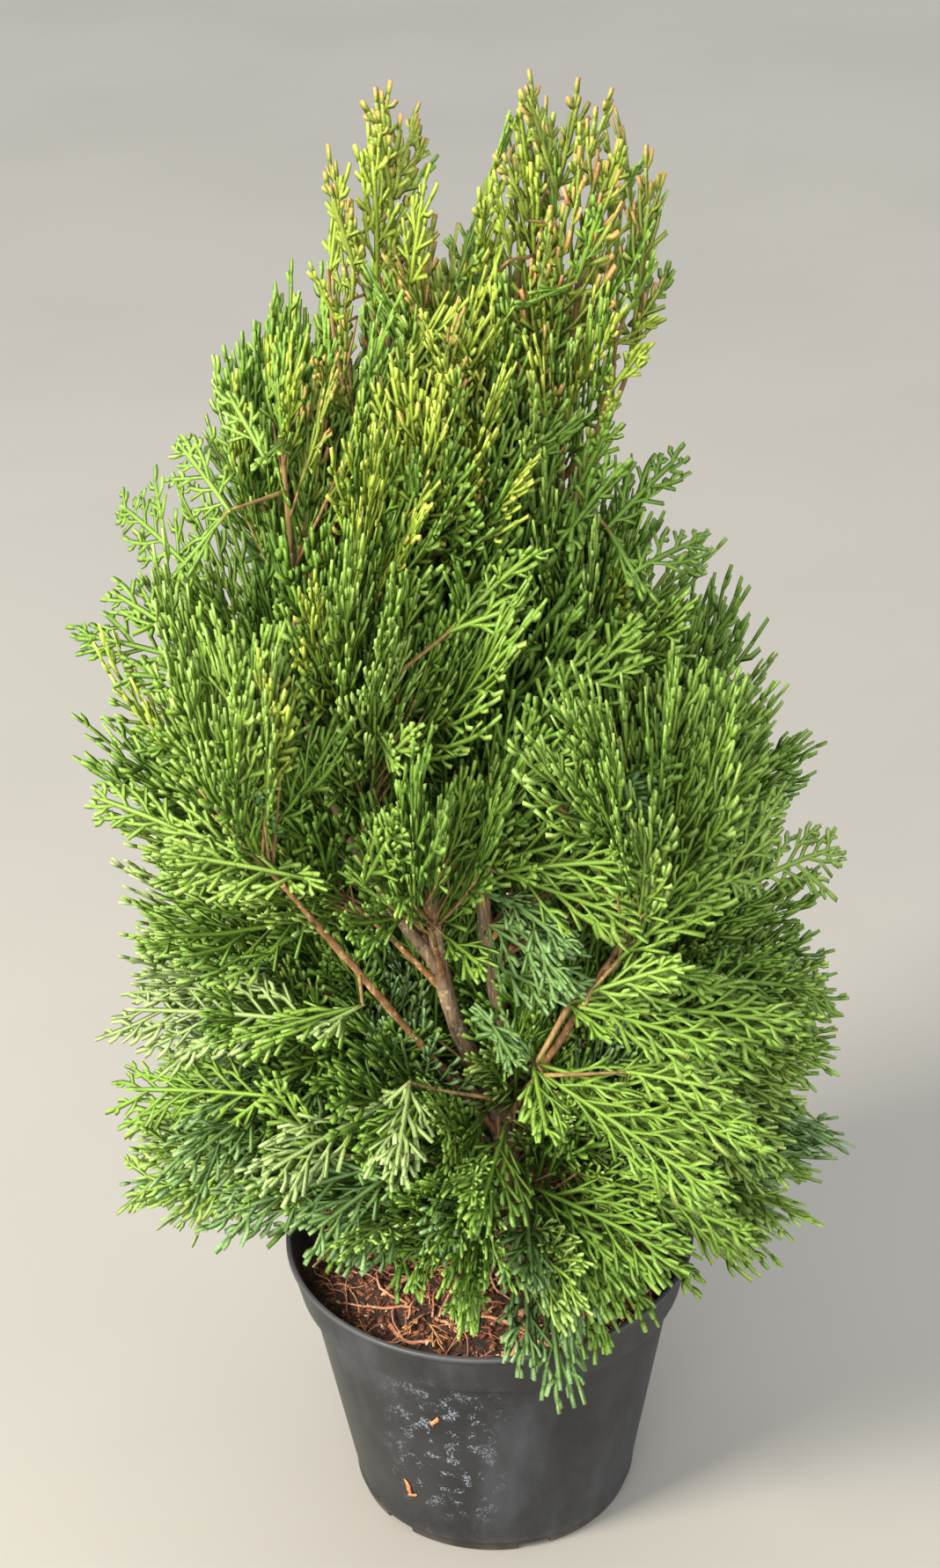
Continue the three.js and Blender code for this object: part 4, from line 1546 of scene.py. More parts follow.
@dataclass
class Growth:
    """Carries the source's rule on to twigs and fans within the same reach."""

    skeleton: Skeleton
    space: CrownSpace
    twig_tries: int = 46
    twigs_per_mass: int = 11
    twigs_per_top: int = 3
    first_top: int = 26
    limb_tries: int = 40
    limb_twigs: int = 160
    limb_skip: float = 9.0
    twig_sight: float = 175.0
    twig_shortest: float = 44.0
    twig_share: float = 0.44
    twig_longest: float = 84.0
    twig_spacing: float = 19.0
    fan_shares: tuple[float, ...] = (0.28, 0.52, 0.76, 1.0)
    fan_angle: float = 0.74
    fan_shortest: float = 34.0
    fan_longest: float = 132.0
    top_fan_longest: float = 122.0
    fan_vigour: Pair = (0.7, 1.04)
    stem_fans: int = 7
    top_stem_fans: int = 4
    upturn: float = 0.62
    upturned_share: float = 0.7
    upturn_heights: Pair = (320.0, 500.0)
    lean_heights: Pair = (215.0, 520.0)
    tip_over: float = 8.0
    tip_share: float = 1.045
    highest_tip: float = 912.0
    # Axis, side and greatest distance of the tips, so that no side reaches far past the source's box.
    reach_most: tuple[tuple[int, float, float], ...] = ((0, -1.0, 217.0), (0, 1.0, 210.0), (1, 1.0, 196.0))
    top_thinning: float = 0.72
    side_thinning: float = 0.3
    notch_middle: float = -2.0
    notch_half_width: float = 13.0
    notch_floor: float = 828.0
    placed_stout: float = 1.16
    hanging: Placing = Placing((0.0, 0.0, 0.9), -0.14, 0.2, 4.0)
    shoots: Placing = Placing((0.0, -1.4, 0.2), 0.06, 0.6, 16.0)
    seen: Placing = Placing((0.0, -0.3, 0.9), -0.06, 0.3, 4.0)
    carrier_radius: float = 1.0
    carrier_bend: float = 0.0008
    carrier_share: float = 0.9
    carrier_gain: float = 0.4
    carrier_stoutest: float = 2.5
    sleeve_shortest: float = 16.0
    sleeve_depth: float = 0.42
    sleeve_over: float = 10.0
    # Radius that is kept open in front of what shows, and the share of the fans there that go.
    stem_window: Pair = (6.5, 0.62)
    trunk_window: Pair = (11.0, 0.95)
    bough_window: Pair = (10.0, 0.94)
    soil_window: Pair = (15.0, 0.94)
    rim_window: Pair = (24.0, 1.0)
    seen_window: Pair = (12.0, 0.75)
    # Radius, first and last angle in degrees and number of points of what shows behind the sprays.
    soil_arcs: tuple[tuple[float, ...], ...] = ((101, 197, 283, 5), (85, 222, 270, 3))
    soil_top: float = 172.0
    rim_arc: tuple[float, ...] = (130, 176, 345, 14)
    rim_top: float = 185.0
    shown_boughs: tuple[str, ...] = ("bough_lower_front_left", "bough_lower_front_right")
    shown_heights: tuple[tuple[str, tuple[float, ...]], ...] = (
        ("trunk", (197, 235, 284, 309)),
        ("leader_left", (350, 412, 449, 572, 657)),
        ("leader_far_left", (467, 535, 616, 670)),
        ("leader_right", (571, 627, 672)),
    )
    dead_place: Triple = (-10.0, -120.0, 632.0)
    dead_radius: float = 26.0

    def __post_init__(self) -> None:
        """Draws the twigs and the fans."""
        self.view, self.rng = PhotoView(), np.random.default_rng(41)
        grown = self._mass_twigs()
        self.twigs = Twigs.joined([grown, self._limb_twigs(grown)])
        self.fans = self._fans()
        LOG.info("twigs %d, fans %d", len(self.twigs.base), len(self.fans.base))

    def _aim(self, base: Array, tangent: Array, turn: Array, ends: Array, splay: float,
             roll: Array) -> Arrays:
        """Directions and normals by the source's spray rule.

        Args:
            base: Points on the stems, (n, 3).
            tangent: Unit tangents there, (n, 3).
            turn: Angles round the stems, (n,).
            ends: Whether a spray goes on from its stem's tip, (n,).
            splay: Share of the sideways part.
            roll: Shares of 1 that roll the sprays round their directions.

        Returns:
            Unit directions, and unit normals that face outward and up.
        """
        outward = unit(base * LEVEL)
        first = unit(np.cross(tangent, outward))
        climb = smooth(base[:, 2], SPREADING_HEIGHT, UPRIGHT_HEIGHT)[:, None]
        spread = turned(first, np.cross(tangent, first), turn[:, None]) * splay
        spread = spread + 0.35 * (1 - climb) * outward + 1.4 * climb * UP
        direction = unit(tangent + np.where(ends[:, None], 0.0, 1.0) * spread)
        return direction, square(outward + UP + first * (2.6 * (roll - 0.5))[:, None], direction)

    def _stations(self, shares: Array, index: Array) -> Arrays:
        """Points and tangents at shares of the stems of the masses.

        They are blended from the two stations round each share.

        Args:
            shares: Shares, (n,).
            index: Mass of each, (n,).

        Returns:
            Points and unit tangents.
        """
        stems = self.skeleton.stems
        slopes = unit(np.gradient(stems, axis=1))
        place = shares * (stems.shape[1] - 1)
        low = np.minimum(place.astype(int), stems.shape[1] - 2)
        step = (place - low)[:, None]
        points, tangents = (a[index, low] * (1 - step) + a[index, low + 1] * step for a in (stems, slopes))
        return points, unit(tangents)

    def _picked(self, twigs: Twigs, skip: float, room: Array, others: Array) -> Twigs:
        """Twigs that find room, the freest first, none near the end of another.

        Args:
            twigs: Twigs whose length isn't known yet.
            skip: Length that lies inside a limb and isn't tried.
            room: How many twigs each mass can take.
            others: Ends of twigs that are there already, (m, 3).

        Returns:
            The twigs picked.
        """
        start = twigs.base + skip * twigs.direction
        run = self.space.free_run(start, twigs.direction, twigs.owner, self.twig_sight)
        twigs.length = np.minimum(run * self.twig_share, self.twig_longest) + skip
        twigs.radius = 0.75 + 0.006 * twigs.length
        ends, _ = twigs.at(np.ones(len(run)))
        taken: list[int] = []
        order = np.flatnonzero(run >= self.twig_shortest)
        for i in order[np.argsort(-run[order], kind="stable")]:
            gap = np.linalg.norm(np.vstack((others, ends[taken])) - ends[i], axis=1).min(initial=np.inf)
            if room[twigs.owner[i]] > 0 and gap > self.twig_spacing:
                taken.append(i)
                room[twigs.owner[i]] -= 1
        return twigs.kept(np.sort(np.array(taken)))

    def _mass_twigs(self) -> Twigs:
        """Second-order twigs round the stem of every mass.

        Tries are spread along a stem by the root of a random share, and round it by the golden angle.

        Returns:
            The twigs.
        """
        count = len(self.skeleton.branches)
        owner = np.repeat(np.arange(count), self.twig_tries)
        tries = np.tile(np.arange(self.twig_tries), count)
        seed = owner * self.twig_tries + tries
        base, tangent = self._stations(0.06 + 0.92 * np.sqrt(share(seed, 1)), owner)
        none = np.zeros(len(owner), bool)
        direction, normal = self._aim(base, tangent, GOLDEN_ANGLE * tries + owner, none, 0.95, share(seed, 2))
        climb = smooth(base[:, 2], SPREADING_HEIGHT, UPRIGHT_HEIGHT)[:, None]
        bend = UP * (0.0022 * climb + 0.0004) * np.ones_like(base)
        twigs = Twigs(base, direction, normal, none, owner, bend, none)
        room = np.where(np.arange(count) >= self.first_top, self.twigs_per_top, self.twigs_per_mass)
        return self._picked(twigs, 0.0, room, np.empty((0, 3)))

    def _limb_twigs(self, grown: Twigs) -> Twigs:
        """Twigs straight from the leaders and the boughs, where they find room between the others.

        Tries are spread evenly along a limb by a random share, and round it by the golden angle.

        Args:
            grown: Twigs of the masses.

        Returns:
            The twigs.
        """
        tries = np.arange(self.limb_tries)
        rows = []
        for number, limb in enumerate(self.skeleton.limbs.values()):
            index = ((0.3 + 0.68 * share(tries + 100 * number, 9)) * (len(limb.path) - 1)).astype(int)
            slopes = unit(np.gradient(limb.path, axis=0))
            rows.append((limb.path[index], slopes[index], GOLDEN_ANGLE * tries + number))
        base, tangent, turn = (np.concatenate([r[i] for r in rows]) for i in range(3))
        none = np.zeros(len(base), bool)
        direction, normal = self._aim(base, tangent, turn, none, 1.3, share(np.arange(len(base)), 12))
        bend = UP * 0.0012 * np.ones_like(base)
        twigs = Twigs(base, direction, normal, none, np.full(len(base), -1), bend, none)
        others, _ = grown.at(np.ones(len(grown.base)))
        return self._picked(twigs, self.limb_skip, np.array((self.limb_twigs,)), others)

    def _twig_fans(self) -> Fans:
        """Fans to both sides and at the end of every twig, in about one plane.

        A fan turns off its twig by the fan angle, less where the crown is upright, and to alternate
        sides, plus a random angle.

        Returns:
            The fans.
        """
        twigs, rng, count = self.twigs, self.rng, len(self.twigs.base)
        groups = []
        for i, part in enumerate(self.fan_shares):
            jitter = rng.uniform(-0.06, 0.06, count) if part < 1 else np.zeros(count)
            base, tangent = twigs.at(np.full(count, part * 0.98) + jitter)
            side = 0.0 if part >= 1 else (1.0 if i % 2 else -1.0)
            flip = np.where(rng.random(count) < 0.5, 1.0, -1.0) if i == 0 else flip
            steep = 1 - 0.36 * smooth(base[:, 2], SPREADING_HEIGHT, UPRIGHT_HEIGHT)
            angle = (self.fan_angle * steep + rng.uniform(-0.12, 0.12, count)) * side * flip
            angle = angle + rng.uniform(-0.15, 0.15, count)
            direction = turned(tangent, np.cross(twigs.normal, tangent), angle[:, None])
            kept = (twigs.owner < self.first_top) | (i % 2 == 1)
            groups.append(self._fan(base[kept], direction[kept], twigs.normal[kept], twigs.owner[kept], 0.5))
        return Fans.joined(groups)

    def _stem_fans(self) -> Fans:
        """Fans straight from the stems of the masses, and one that goes on from each tip.

        They are spread like the twigs of the masses.

        Returns:
            The fans.
        """
        count = len(self.skeleton.branches)
        owner = np.repeat(np.arange(count), self.stem_fans)
        tries = np.tile(np.arange(self.stem_fans), count)
        kept = (owner < self.first_top) | (tries < self.top_stem_fans)
        owner, tries = owner[kept], tries[kept]
        seed = owner * self.stem_fans + tries
        ends = tries == 0
        base, tangent = self._stations(np.where(ends, 1.0, 0.2 + 0.78 * np.sqrt(share(seed, 5))), owner)
        direction, normal = self._aim(base, tangent, GOLDEN_ANGLE * tries + 1.3, ends, 0.8, share(seed, 6))
        return self._fan(base, direction, normal, owner, 0.6)

    def _fan(self, base: Array, direction: Array, normal: Array, owner: Array, roll: float) -> Fans:
        """Fans of the length that their room allows.

        The length is the free run times a random vigour. The lean is upward high in the crown and
        downward low in it, plus a little noise.

        Args:
            base: Feet, (n, 3).
            direction: Directions of the ribs, (n, 3).
            normal: Normals of the plane they come from, (n, 3).
            owner: Mass of each, (n,).
            roll: Greatest angle that a fan is rolled round its rib.

        Returns:
            The fans that find room.
        """
        count = len(base)
        direction = unit(direction)
        outward = unit(base * LEVEL)
        rise = self.upturn * smooth(base[:, 2], *self.upturn_heights)
        rise = rise * (self.rng.random(count) < self.upturned_share)
        away = np.maximum(dot(direction, outward), 0.0)
        direction = unit(direction + rise[:, None] * (0.5 * UP - away * outward))
        normal = self._rolled(square(normal, direction), direction, roll)
        run = self.space.free_run(base, direction, owner, self.top_fan_longest + 8.0)
        longest = np.where(owner >= self.first_top, self.top_fan_longest, self.fan_longest)
        length = np.clip(run * self.rng.uniform(*self.fan_vigour, count), 0.0, longest)
        climb = smooth(base[:, 2], *self.lean_heights)[:, None]
        lean = UP * (0.26 * climb - 0.16 * (1 - climb)) + self.rng.normal(0.0, 0.05, (count, 3))
        fans = Fans(base, direction, normal, length, owner, lean, np.full(count, -1), np.ones(count))
        for _ in range(3):
            fans.length = np.where(self._tips_fit(fans), fans.length, fans.length * 0.86)
        return fans.kept((fans.length >= self.fan_shortest) & self._tips_fit(fans))

    def _rolled(self, normal: Array, direction: Array, roll: float) -> Array:
        """Normals rolled round their directions by seeded angles of up to the roll."""
        angle = self.rng.uniform(-roll, roll, len(normal))[:, None]
        return turned(normal, np.cross(direction, normal), angle)

    def _tips_fit(self, fans: Fans) -> Array:
        """Whether the outer ends of the ribs stay in the crown and off the pot.

        Args:
            fans: The fans.

        Returns:
            Mask of the fans.
        """
        good = np.ones(len(fans.base), bool)
        for part in (0.7, 1.0, 1.0 + self.tip_over / np.maximum(fans.length, 1.0)):
            points = fans.at(part)
            good &= (self.space.shell(points) <= self.tip_share) & self.space.clear_of_pot(points)
        return good & (points[:, 2] < self.highest_tip)

    def _fans(self) -> Fans:
        """All fans, less those in front of the stems that show, with their tints.

        Returns:
            The fans.
        """
        fans = Fans.joined([self._twig_fans(), self._stem_fans()])
        hides = self._hidden_parts(fans)
        rows, tint = self._rows(HANGING_SPRAYS)
        hanging = self._placed_fans(rows[:, :3], rows[:, 3:], tint, self.hanging)
        rows, tint = self._rows(TOP_SHOOTS)
        feet, tips = (self.view.at_depth(rows[:, i:i + 2], rows[:, 4 + i // 2]) for i in (0, 2))
        shoots = self._placed_fans(feet, tips, tint, self.shoots)
        rows, tint = self._rows(SEEN_SPRAYS)
        feet, tips = (self.space.seen(self.view, rows[:, i:i + 2], rows[:, 4 + i // 2] / 100) for i in (0, 2))
        seen = self._placed_fans(feet, tips, tint, self.seen)
        hides |= self._hides(fans, np.vstack((seen.at(0.5), seen.at(0.85))), self.seen_window)
        fans = Fans.joined([fans.kept(~hides), hanging, seen, shoots])
        fans.tint = np.where(fans.tint < 0, self._tints(fans), fans.tint)
        for axis, sign, most in self.reach_most:
            slope = np.maximum(sign * (fans.direction + fans.lean)[:, axis], 0.01)
            fans.length = np.minimum(fans.length, (most - sign * fans.base[:, axis]) / slope)
        return fans

    def _hidden_parts(self, fans: Fans) -> Array:
        """Mask of the fans in front of wood, soil and rim that show, in the notch, or in too full a place.

        Args:
            fans: The fans.

        Returns:
            Mask of the fans that go.
        """
        limbs, rng = self.skeleton.limbs, self.rng
        stems = np.array([limbs[name].at_height(z) for name, heights in self.shown_heights for z in heights])
        boughs = np.vstack([even_path(limbs[name].path, 7)[1:] for name in self.shown_boughs])
        soil = np.vstack([self._arc(*arc, self.soil_top) for arc in self.soil_arcs])
        rim = self._arc(*self.rim_arc, self.rim_top)
        hides = np.any([self._hides(fans, spots, window) for spots, window in (
            (stems, self.stem_window), (stems[:3], self.trunk_window), (boughs, self.bough_window),
            (soil, self.soil_window), (rim, self.rim_window),
        )], axis=0)
        tips = fans.at(1.0)
        hides |= rng.random(len(tips)) < self.top_thinning * smooth(tips[:, 2], 790, 840)
        beside = np.abs(tips[:, 0] - self.notch_middle)
        hides |= (beside < self.notch_half_width) & (tips[:, 2] > self.notch_floor)
        sideways = smooth(np.abs(unit(tips * LEVEL)[:, 0]), 0.65, 0.95)
        outer = smooth(self.space.depth(fans.at(0.7)), 0.75, 0.95) * sideways * fall(tips[:, 2], 700, 760)
        return hides | (rng.random(len(tips)) < self.side_thinning * outer)

    @staticmethod
    def _arc(radius: float, start: float, end: float, count: int, height: float) -> Array:
        """Points on a level arc round the pot's axis, with its angles in degrees."""
        return polar(radius, np.radians(np.linspace(start, end, count)), height)

    @staticmethod
    def _rows(placed: dict) -> Arrays:
        """Rows of placed sprays and their tints, where None leaves the tint to be drawn (-1)."""
        tints = [np.full(len(g), -1 if key is None else key.value) for key, g in placed.items()]
        return np.vstack([np.array(group, float) for group in placed.values()]), np.concatenate(tints)

    def _placed_fans(self, feet: Array, tips: Array, tint: Array, way: Placing) -> Fans:
        """Sprays that show by themselves in the photo, on twigs from the nearest stem.

        The length is the distance from foot to tip less what the fingers add.

        Args:
            feet: Their feet, (n, 3).
            tips: Their tips, (n, 3).
            tint: Their tints, (n,).
            way: How they stand.

        Returns:
            The fans, owned by no mass.
        """
        none = np.full(len(feet), -1)
        length = np.linalg.norm(tips - feet, axis=1) - way.over
        bend = UP * way.lean * np.ones_like(feet)
        direction = unit(unit(tips - feet) - bend)
        normal = square(unit(feet * LEVEL) + np.array(way.face), direction)
        start, load = self._carry(feet, normal, none)
        normal = self._rolled(normal, direction, way.roll)
        stout = np.full(len(feet), self.placed_stout)
        made = Fans(feet, direction, normal, length, none, bend, tint, stout)
        reach = np.linalg.norm(feet - start, axis=1)
        along = unit(feet - start)
        flat = square(normal, along)
        sleeves = Fans(start, along, flat, reach + self.sleeve_over, none, 0.0 * bend, tint, stout)
        leafy = (reach > self.sleeve_shortest) & (self.space.depth((feet + start) / 2) > self.sleeve_depth)
        return Fans.joined([made, sleeves.kept(leafy & (load == 0))])

    def _carry(self, feet: Array, normal: Array, owner: Array) -> Arrays:
        """Adds the twigs that carry placed sprays, from stems, boughs, twigs or from each other.

        Args:
            feet: Feet of the sprays, (n, 3).
            normal: Normals of the sprays, (n, 3).
            owner: Mass of each, (n,).

        Returns:
            Feet of the twigs and how many others start from each.
        """
        lines = [*self.skeleton.stems, *(limb.path for limb in self.skeleton.boughs)]
        grown = [self.twigs.at(np.full(len(self.twigs.base), q))[0] for q in (0.5, 0.75, 1.0)]
        stems = np.vstack([*(even_path(line, 60) for line in lines), *grown])
        far = np.linalg.norm(feet[:, None] - stems[None], axis=2)
        far = far + np.where(stems[None, :, 2] > feet[:, 2:] + 4, 60.0, 0.0)
        base, gap = stems[np.argmin(far, axis=1)], far.min(axis=1)
        load = np.zeros(len(feet))
        order = np.argsort(gap, kind="stable")
        for place, i in enumerate(order[1:], 1):
            reach = np.linalg.norm(feet[order[:place]] - feet[i], axis=1)
            if reach.min() < self.carrier_share * gap[i]:
                carrier = order[np.argmin(reach)]
                base[i] = feet[carrier]
                load[carrier] += 1
        bend = UP * self.carrier_bend * np.ones_like(base)
        reach = feet - base
        reach = reach - bend * dot(reach, reach)
        length = np.linalg.norm(reach, axis=1) + 1.0
        direction = unit(reach)
        radius = np.minimum(self.carrier_radius + self.carrier_gain * load, self.carrier_stoutest)
        made = Twigs(base, direction, square(normal, direction), length, owner, bend, radius)
        self.twigs = Twigs.joined([self.twigs, made])
        return base, load

    def _hides(self, fans: Fans, spots: Array, window: Pair) -> Array:
        """Whether fans stand in front of spots that show in the photo.

        Args:
            fans: The fans.
            spots: Points that show, in millimetres, (n, 3).
            window: Distance from the line of sight that is kept open, and share of the fans that count.

        Returns:
            Mask of the fans.
        """
        radius, chance = window
        toward = spots + 0.4 * (self.view.eye - spots)
        near = [polyline_distance(fans.at(part), spots, toward).min(axis=1) for part in (0.3, 0.55, 0.8, 1.0)]
        return (np.min(near, axis=0) < radius) & (self.rng.random(len(fans.base)) < chance)

    def _tints(self, fans: Fans) -> Array:
        """Tint of each fan, drawn by height, depth in the crown and side.

        Weights by height, with more for some tints at some sides, are added up, and a random share picks
        one.

        Args:
            fans: The fans.

        Returns:
            Numbers of the tints, (n,).
        """
        tips = fans.at(1.0)
        x, y, z = tips.T
        depth = self.space.depth(fans.at(0.6))
        shown = smooth(depth, 0.6, 0.9)
        heights, *columns = TINT_WEIGHTS.T
        weights = np.column_stack([np.interp(z, heights, column) for column in columns])
        low_right = smooth(x, 20, 120) * fall(y, -60, 20) * fall(z, 380, 460)
        # Painted light: the sunlit low left and the sunny top left get more of the lighter tints.
        sunlit_low_left = fall(x, -110, -30) * fall(z, 390, 480) * shown
        sunny = fall(x, -120, -20) * fall(z, 780, 840) * shown
        weights[:, Tint.COOL.value] *= 1 - 0.7 * low_right
        for tint, more in (
            (Tint.LIME, 0.5 * low_right + 0.9 * sunlit_low_left + 0.6 * sunny),
            (Tint.BRIGHT, 0.4 * low_right),
            (Tint.PALE, 3.4 * sunlit_low_left + 0.4 * sunny * fall(x, -190, -130)),
            (Tint.YELLOW, 0.22 * sunny * smooth(z, 480, 600)),
            (Tint.GOLD, 0.35 * fall(x, -60, 0) * smooth(z, 740, 840)),
            # Painted shade: the darker tint goes to fans deep in the crown.
            (Tint.SHADE, 3.0 * fall(depth, 0.35, 0.62) * fall(z, 640, 760)),
        ):
            weights[:, tint.value] += more
        weights = np.cumsum(weights / weights.sum(axis=1, keepdims=True), axis=1)
        draw = self.rng.random(len(tips))[:, None]
        tint = np.minimum((draw > weights).sum(axis=1), Tint.PALE.value)
        dead = np.linalg.norm(tips - np.array(self.dead_place), axis=1) < self.dead_radius
        return np.where(dead & (self.rng.random(len(tips)) < 0.2), Tint.DEAD.value, tint)


@dataclass(frozen=True)
class FanSize:
    """Sizes of a fan of scale leaves, in millimetres, radians or shares of its length."""

    most_branchlets: int = 18
    branchlet_spacing: float = 7.6
    first_branchlet: float = 0.1
    longest_share: float = 0.56
    tip_share: float = 0.1
    longest: float = 62.0
    angles: Pair = (0.7, 0.52)
    curl: float = 0.2
    half_width: float = 1.55
    flatness: float = 0.6
    rib_half_width: float = 1.45
    cup: float = 0.06
    # Shares of the run, and of the half-width there.
    rib_shares: tuple[float, ...] = (-0.02, 0.2, 0.42, 0.64, 0.84, 0.94)
    rib_taper: tuple[float, ...] = (0.8, 0.95, 1.0, 1.0, 0.95, 0.8)
    branchlet_shares: tuple[float, ...] = (0.0, 0.4, 0.72, 0.92)
    branchlet_taper: tuple[float, ...] = (0.8, 0.94, 1.0, 0.9)
    finger_taper: tuple[float, ...] = (0.84, 1.0, 0.86)
    # Fingers start no further out on a branchlet, and the last goes on from there.
    last_finger: float = 0.88
    most_fingers: int = 7
    first_finger: float = 0.32
    finger_spacing: float = 7.2
    finger_shortest: float = 6.5
    finger_half_width: float = 1.65
    finger_bend: float = 0.26
    slim_share: float = 0.5
    slim_heights: Pair = (640.0, 830.0)
    hang: float = 0.1
    # Low in the crown, then high in it.
    finger_angles: Pair = (0.56, 0.72)
    finger_shares: Pair = (0.56, 0.46)
    finger_longest: Pair = (17.0, 13.0)
    sags: Pair = (0.62, 0.04)
    sag_heights: Pair = (380.0, 640.0)


DEEP_FAN = FanSize(
    branchlet_spacing=10.0, finger_spacing=10.5, half_width=1.9, finger_half_width=2.0,
    most_branchlets=13, most_fingers=5,
)


def blend(ends: Pair, part: Array) -> Array:
    """Value at a share of the way from the first end to the second."""
    return ends[0] + (ends[1] - ends[0]) * part


@dataclass
class Branchlets:
    """Branchlets of some fans, as one row each."""

    fan: Array
    place: Array
    part: Array
    side: Array
    reach: Array
    angle: Array
    tilt: Array
    curl: Array


@dataclass
class FanMesher:
    """Turns fans into ribs, branchlets and blunt fingers."""

    size: FanSize
    rng: np.random.Generator

    def _to_world(self, fans: Fans, local: Array, which: Array) -> Array:
        """Bends flat fan points into place.

        A point stands at base + along * direction + across * side + off * normal, moved by
        lean * along^2 / length, cupped and hung down by its distance across squared.

        Args:
            fans: The fans.
            local: Points as along, across and off, (n, 3).
            which: Fan of each point, (n,).

        Returns:
            Points in millimetres, (n, 3).
        """
        direction, normal = fans.direction[which], fans.normal[which]
        along, across, off = local[:, :1], local[:, 1:2], local[:, 2:]
        length = fans.length[which][:, None]
        cup = self.size.cup * across**2 / length
        sag = blend(self.size.sags, smooth(fans.base[:, 2], *self.size.sag_heights))
        drop = UP * sag[which][:, None] * across**2 / length
        flat = fans.base[which] + along * direction + across * np.cross(normal, direction)
        return flat + (off - cup) * normal + fans.lean[which] * along**2 / length - drop

    def build(self, fans: Fans) -> tuple[MeshData, MeshData]:
        """Meshes of the inner twigs and of the outer tips of some fans.

        Args:
            fans: The fans.

        Returns:
            Mesh of ribs, branchlets and inner fingers, and mesh of the outer fingers.
        """
        rows = self._branchlets(fans)
        size = self.size
        path = self._points(rows, np.array(size.branchlet_shares))
        taper = np.array(size.branchlet_taper)
        width = size.half_width * taper * self.rng.uniform(0.9, 1.1, (len(rows.fan), 1))
        twigs = self._flat_bars(fans, path, width, rows.fan, 3)
        path, fan, outer = self._fingers(fans, rows)
        width = size.finger_half_width * self.rng.uniform(0.86, 1.12, (len(fan), 1))
        width = width * np.array(size.finger_taper)
        ends = [0, 2]
        inner_part = self._flat_bars(fans, path[~outer][:, ends], width[~outer][:, ends], fan[~outer], 3)
        outer_part = self._flat_bars(fans, path[outer], width[outer], fan[outer], 3)
        return MeshData.joined([self._ribs(fans), twigs, inner_part]), outer_part

    def _flat_bars(self, fans: Fans, path: Array, width: Array, which: Array, corners: int) -> MeshData:
        """Flattened bars along paths in the planes of the fans, bent into place.

        Args:
            fans: The fans.
            path: Paths as along, across and off, (n, k, 3).
            width: Half-widths, (n, k).
            which: Fan of each path, (n,).
            corners: Corners of the section.

        Returns:
            The bars in millimetres.
        """
        off = UP * self.rng.choice((-1.0, 1.0), len(path))[:, None, None]
        width = width * fans.stout[which][:, None]
        made = bars(path, facing_frames(path, off), width, width * self.size.flatness, corners)
        made.vertices = self._to_world(fans, made.vertices, np.repeat(which, len(made.vertices) // len(path)))
        return made

    def _branchlets(self, fans: Fans) -> Branchlets:
        """Alternate branchlets along the rib of every fan.

        Place = first + spacing * number. Reach = length * (longest share * (1 - part)^0.8 * slimness +
        tip share), grown in from the foot and varied by a random vigour.

        Args:
            fans: The fans.

        Returns:
            Their branchlets.
        """
        size, rng, count = self.size, self.rng, len(fans.base)
        slot = np.arange(size.most_branchlets)[None, :]
        place = size.first_branchlet * fans.length[:, None] + size.branchlet_spacing * slot
        place = place + rng.uniform(-0.9, 0.9, place.shape)
        part = place / fans.length[:, None]
        keep = part < 0.95
        fan = np.broadcast_to(np.arange(count)[:, None], keep.shape)[keep]
        first_side = np.where(rng.random(count) < 0.5, 1.0, -1.0)[:, None]
        side = (np.where(slot % 2 == 0, 1.0, -1.0) * first_side)[keep]
        part, place = part[keep], place[keep]
        vigour = rng.uniform(0.74, 1.16, len(fan))
        grown = 0.55 + 0.45 * smooth(part, 0.08, 0.3)
        slim = 1 - size.slim_share * smooth(fans.base[:, 2], *size.slim_heights)[fan]
        wide = size.longest_share * (1 - part) ** 0.8 * slim + size.tip_share
        reach = np.clip(fans.length[fan] * wide * grown * vigour, 8.0, size.longest)
        angle = blend(size.angles, part) + rng.normal(0.0, 0.07, len(fan))
        tilt = rng.normal(0.0, 0.1, len(fan))
        curl = size.curl * rng.uniform(0.2, 1.9, len(fan))
        return Branchlets(fan, place, part, side, reach, angle, tilt, curl)

    def _points(self, rows: Branchlets, q: Array) -> Array:
        """Points of branchlets at shares of their run, curved inward toward the rib.

        Along = place + run * (cos(angle) + curl * q), across = side * run * (sin(angle) - curl * q), and
        off = run * (tilt - hang * q).

        Args:
            rows: The branchlets.
            q: Shares, (k,) or (n, k).

        Returns:
            Points as along, across and off, (n, k, 3).
        """
        q = np.broadcast_to(q, (len(rows.place), np.shape(q)[-1]))
        run = rows.reach[:, None] * q
        curl = rows.curl[:, None]
        along = rows.place[:, None] + run * (np.cos(rows.angle)[:, None] + curl * q)
        across = rows.side[:, None] * run * (np.sin(rows.angle)[:, None] - curl * q)
        return np.stack((along, across, run * (rows.tilt[:, None] - self.size.hang * q)), axis=-1)

    def _ribs(self, fans: Fans) -> MeshData:
        """Middle twigs of the fans.

        They run straight from just behind the base to just short of the end.

        Args:
            fans: The fans.

        Returns:
            The ribs.
        """
        size, count = self.size, len(fans.base)
        path = np.zeros((count, len(size.rib_shares), 3))
        path[..., 0] = fans.length[:, None] * np.array(size.rib_shares)
        width = size.rib_half_width * np.array(size.rib_taper) * np.ones((count, 1))
        return self._flat_bars(fans, path, width, np.arange(count), 4)

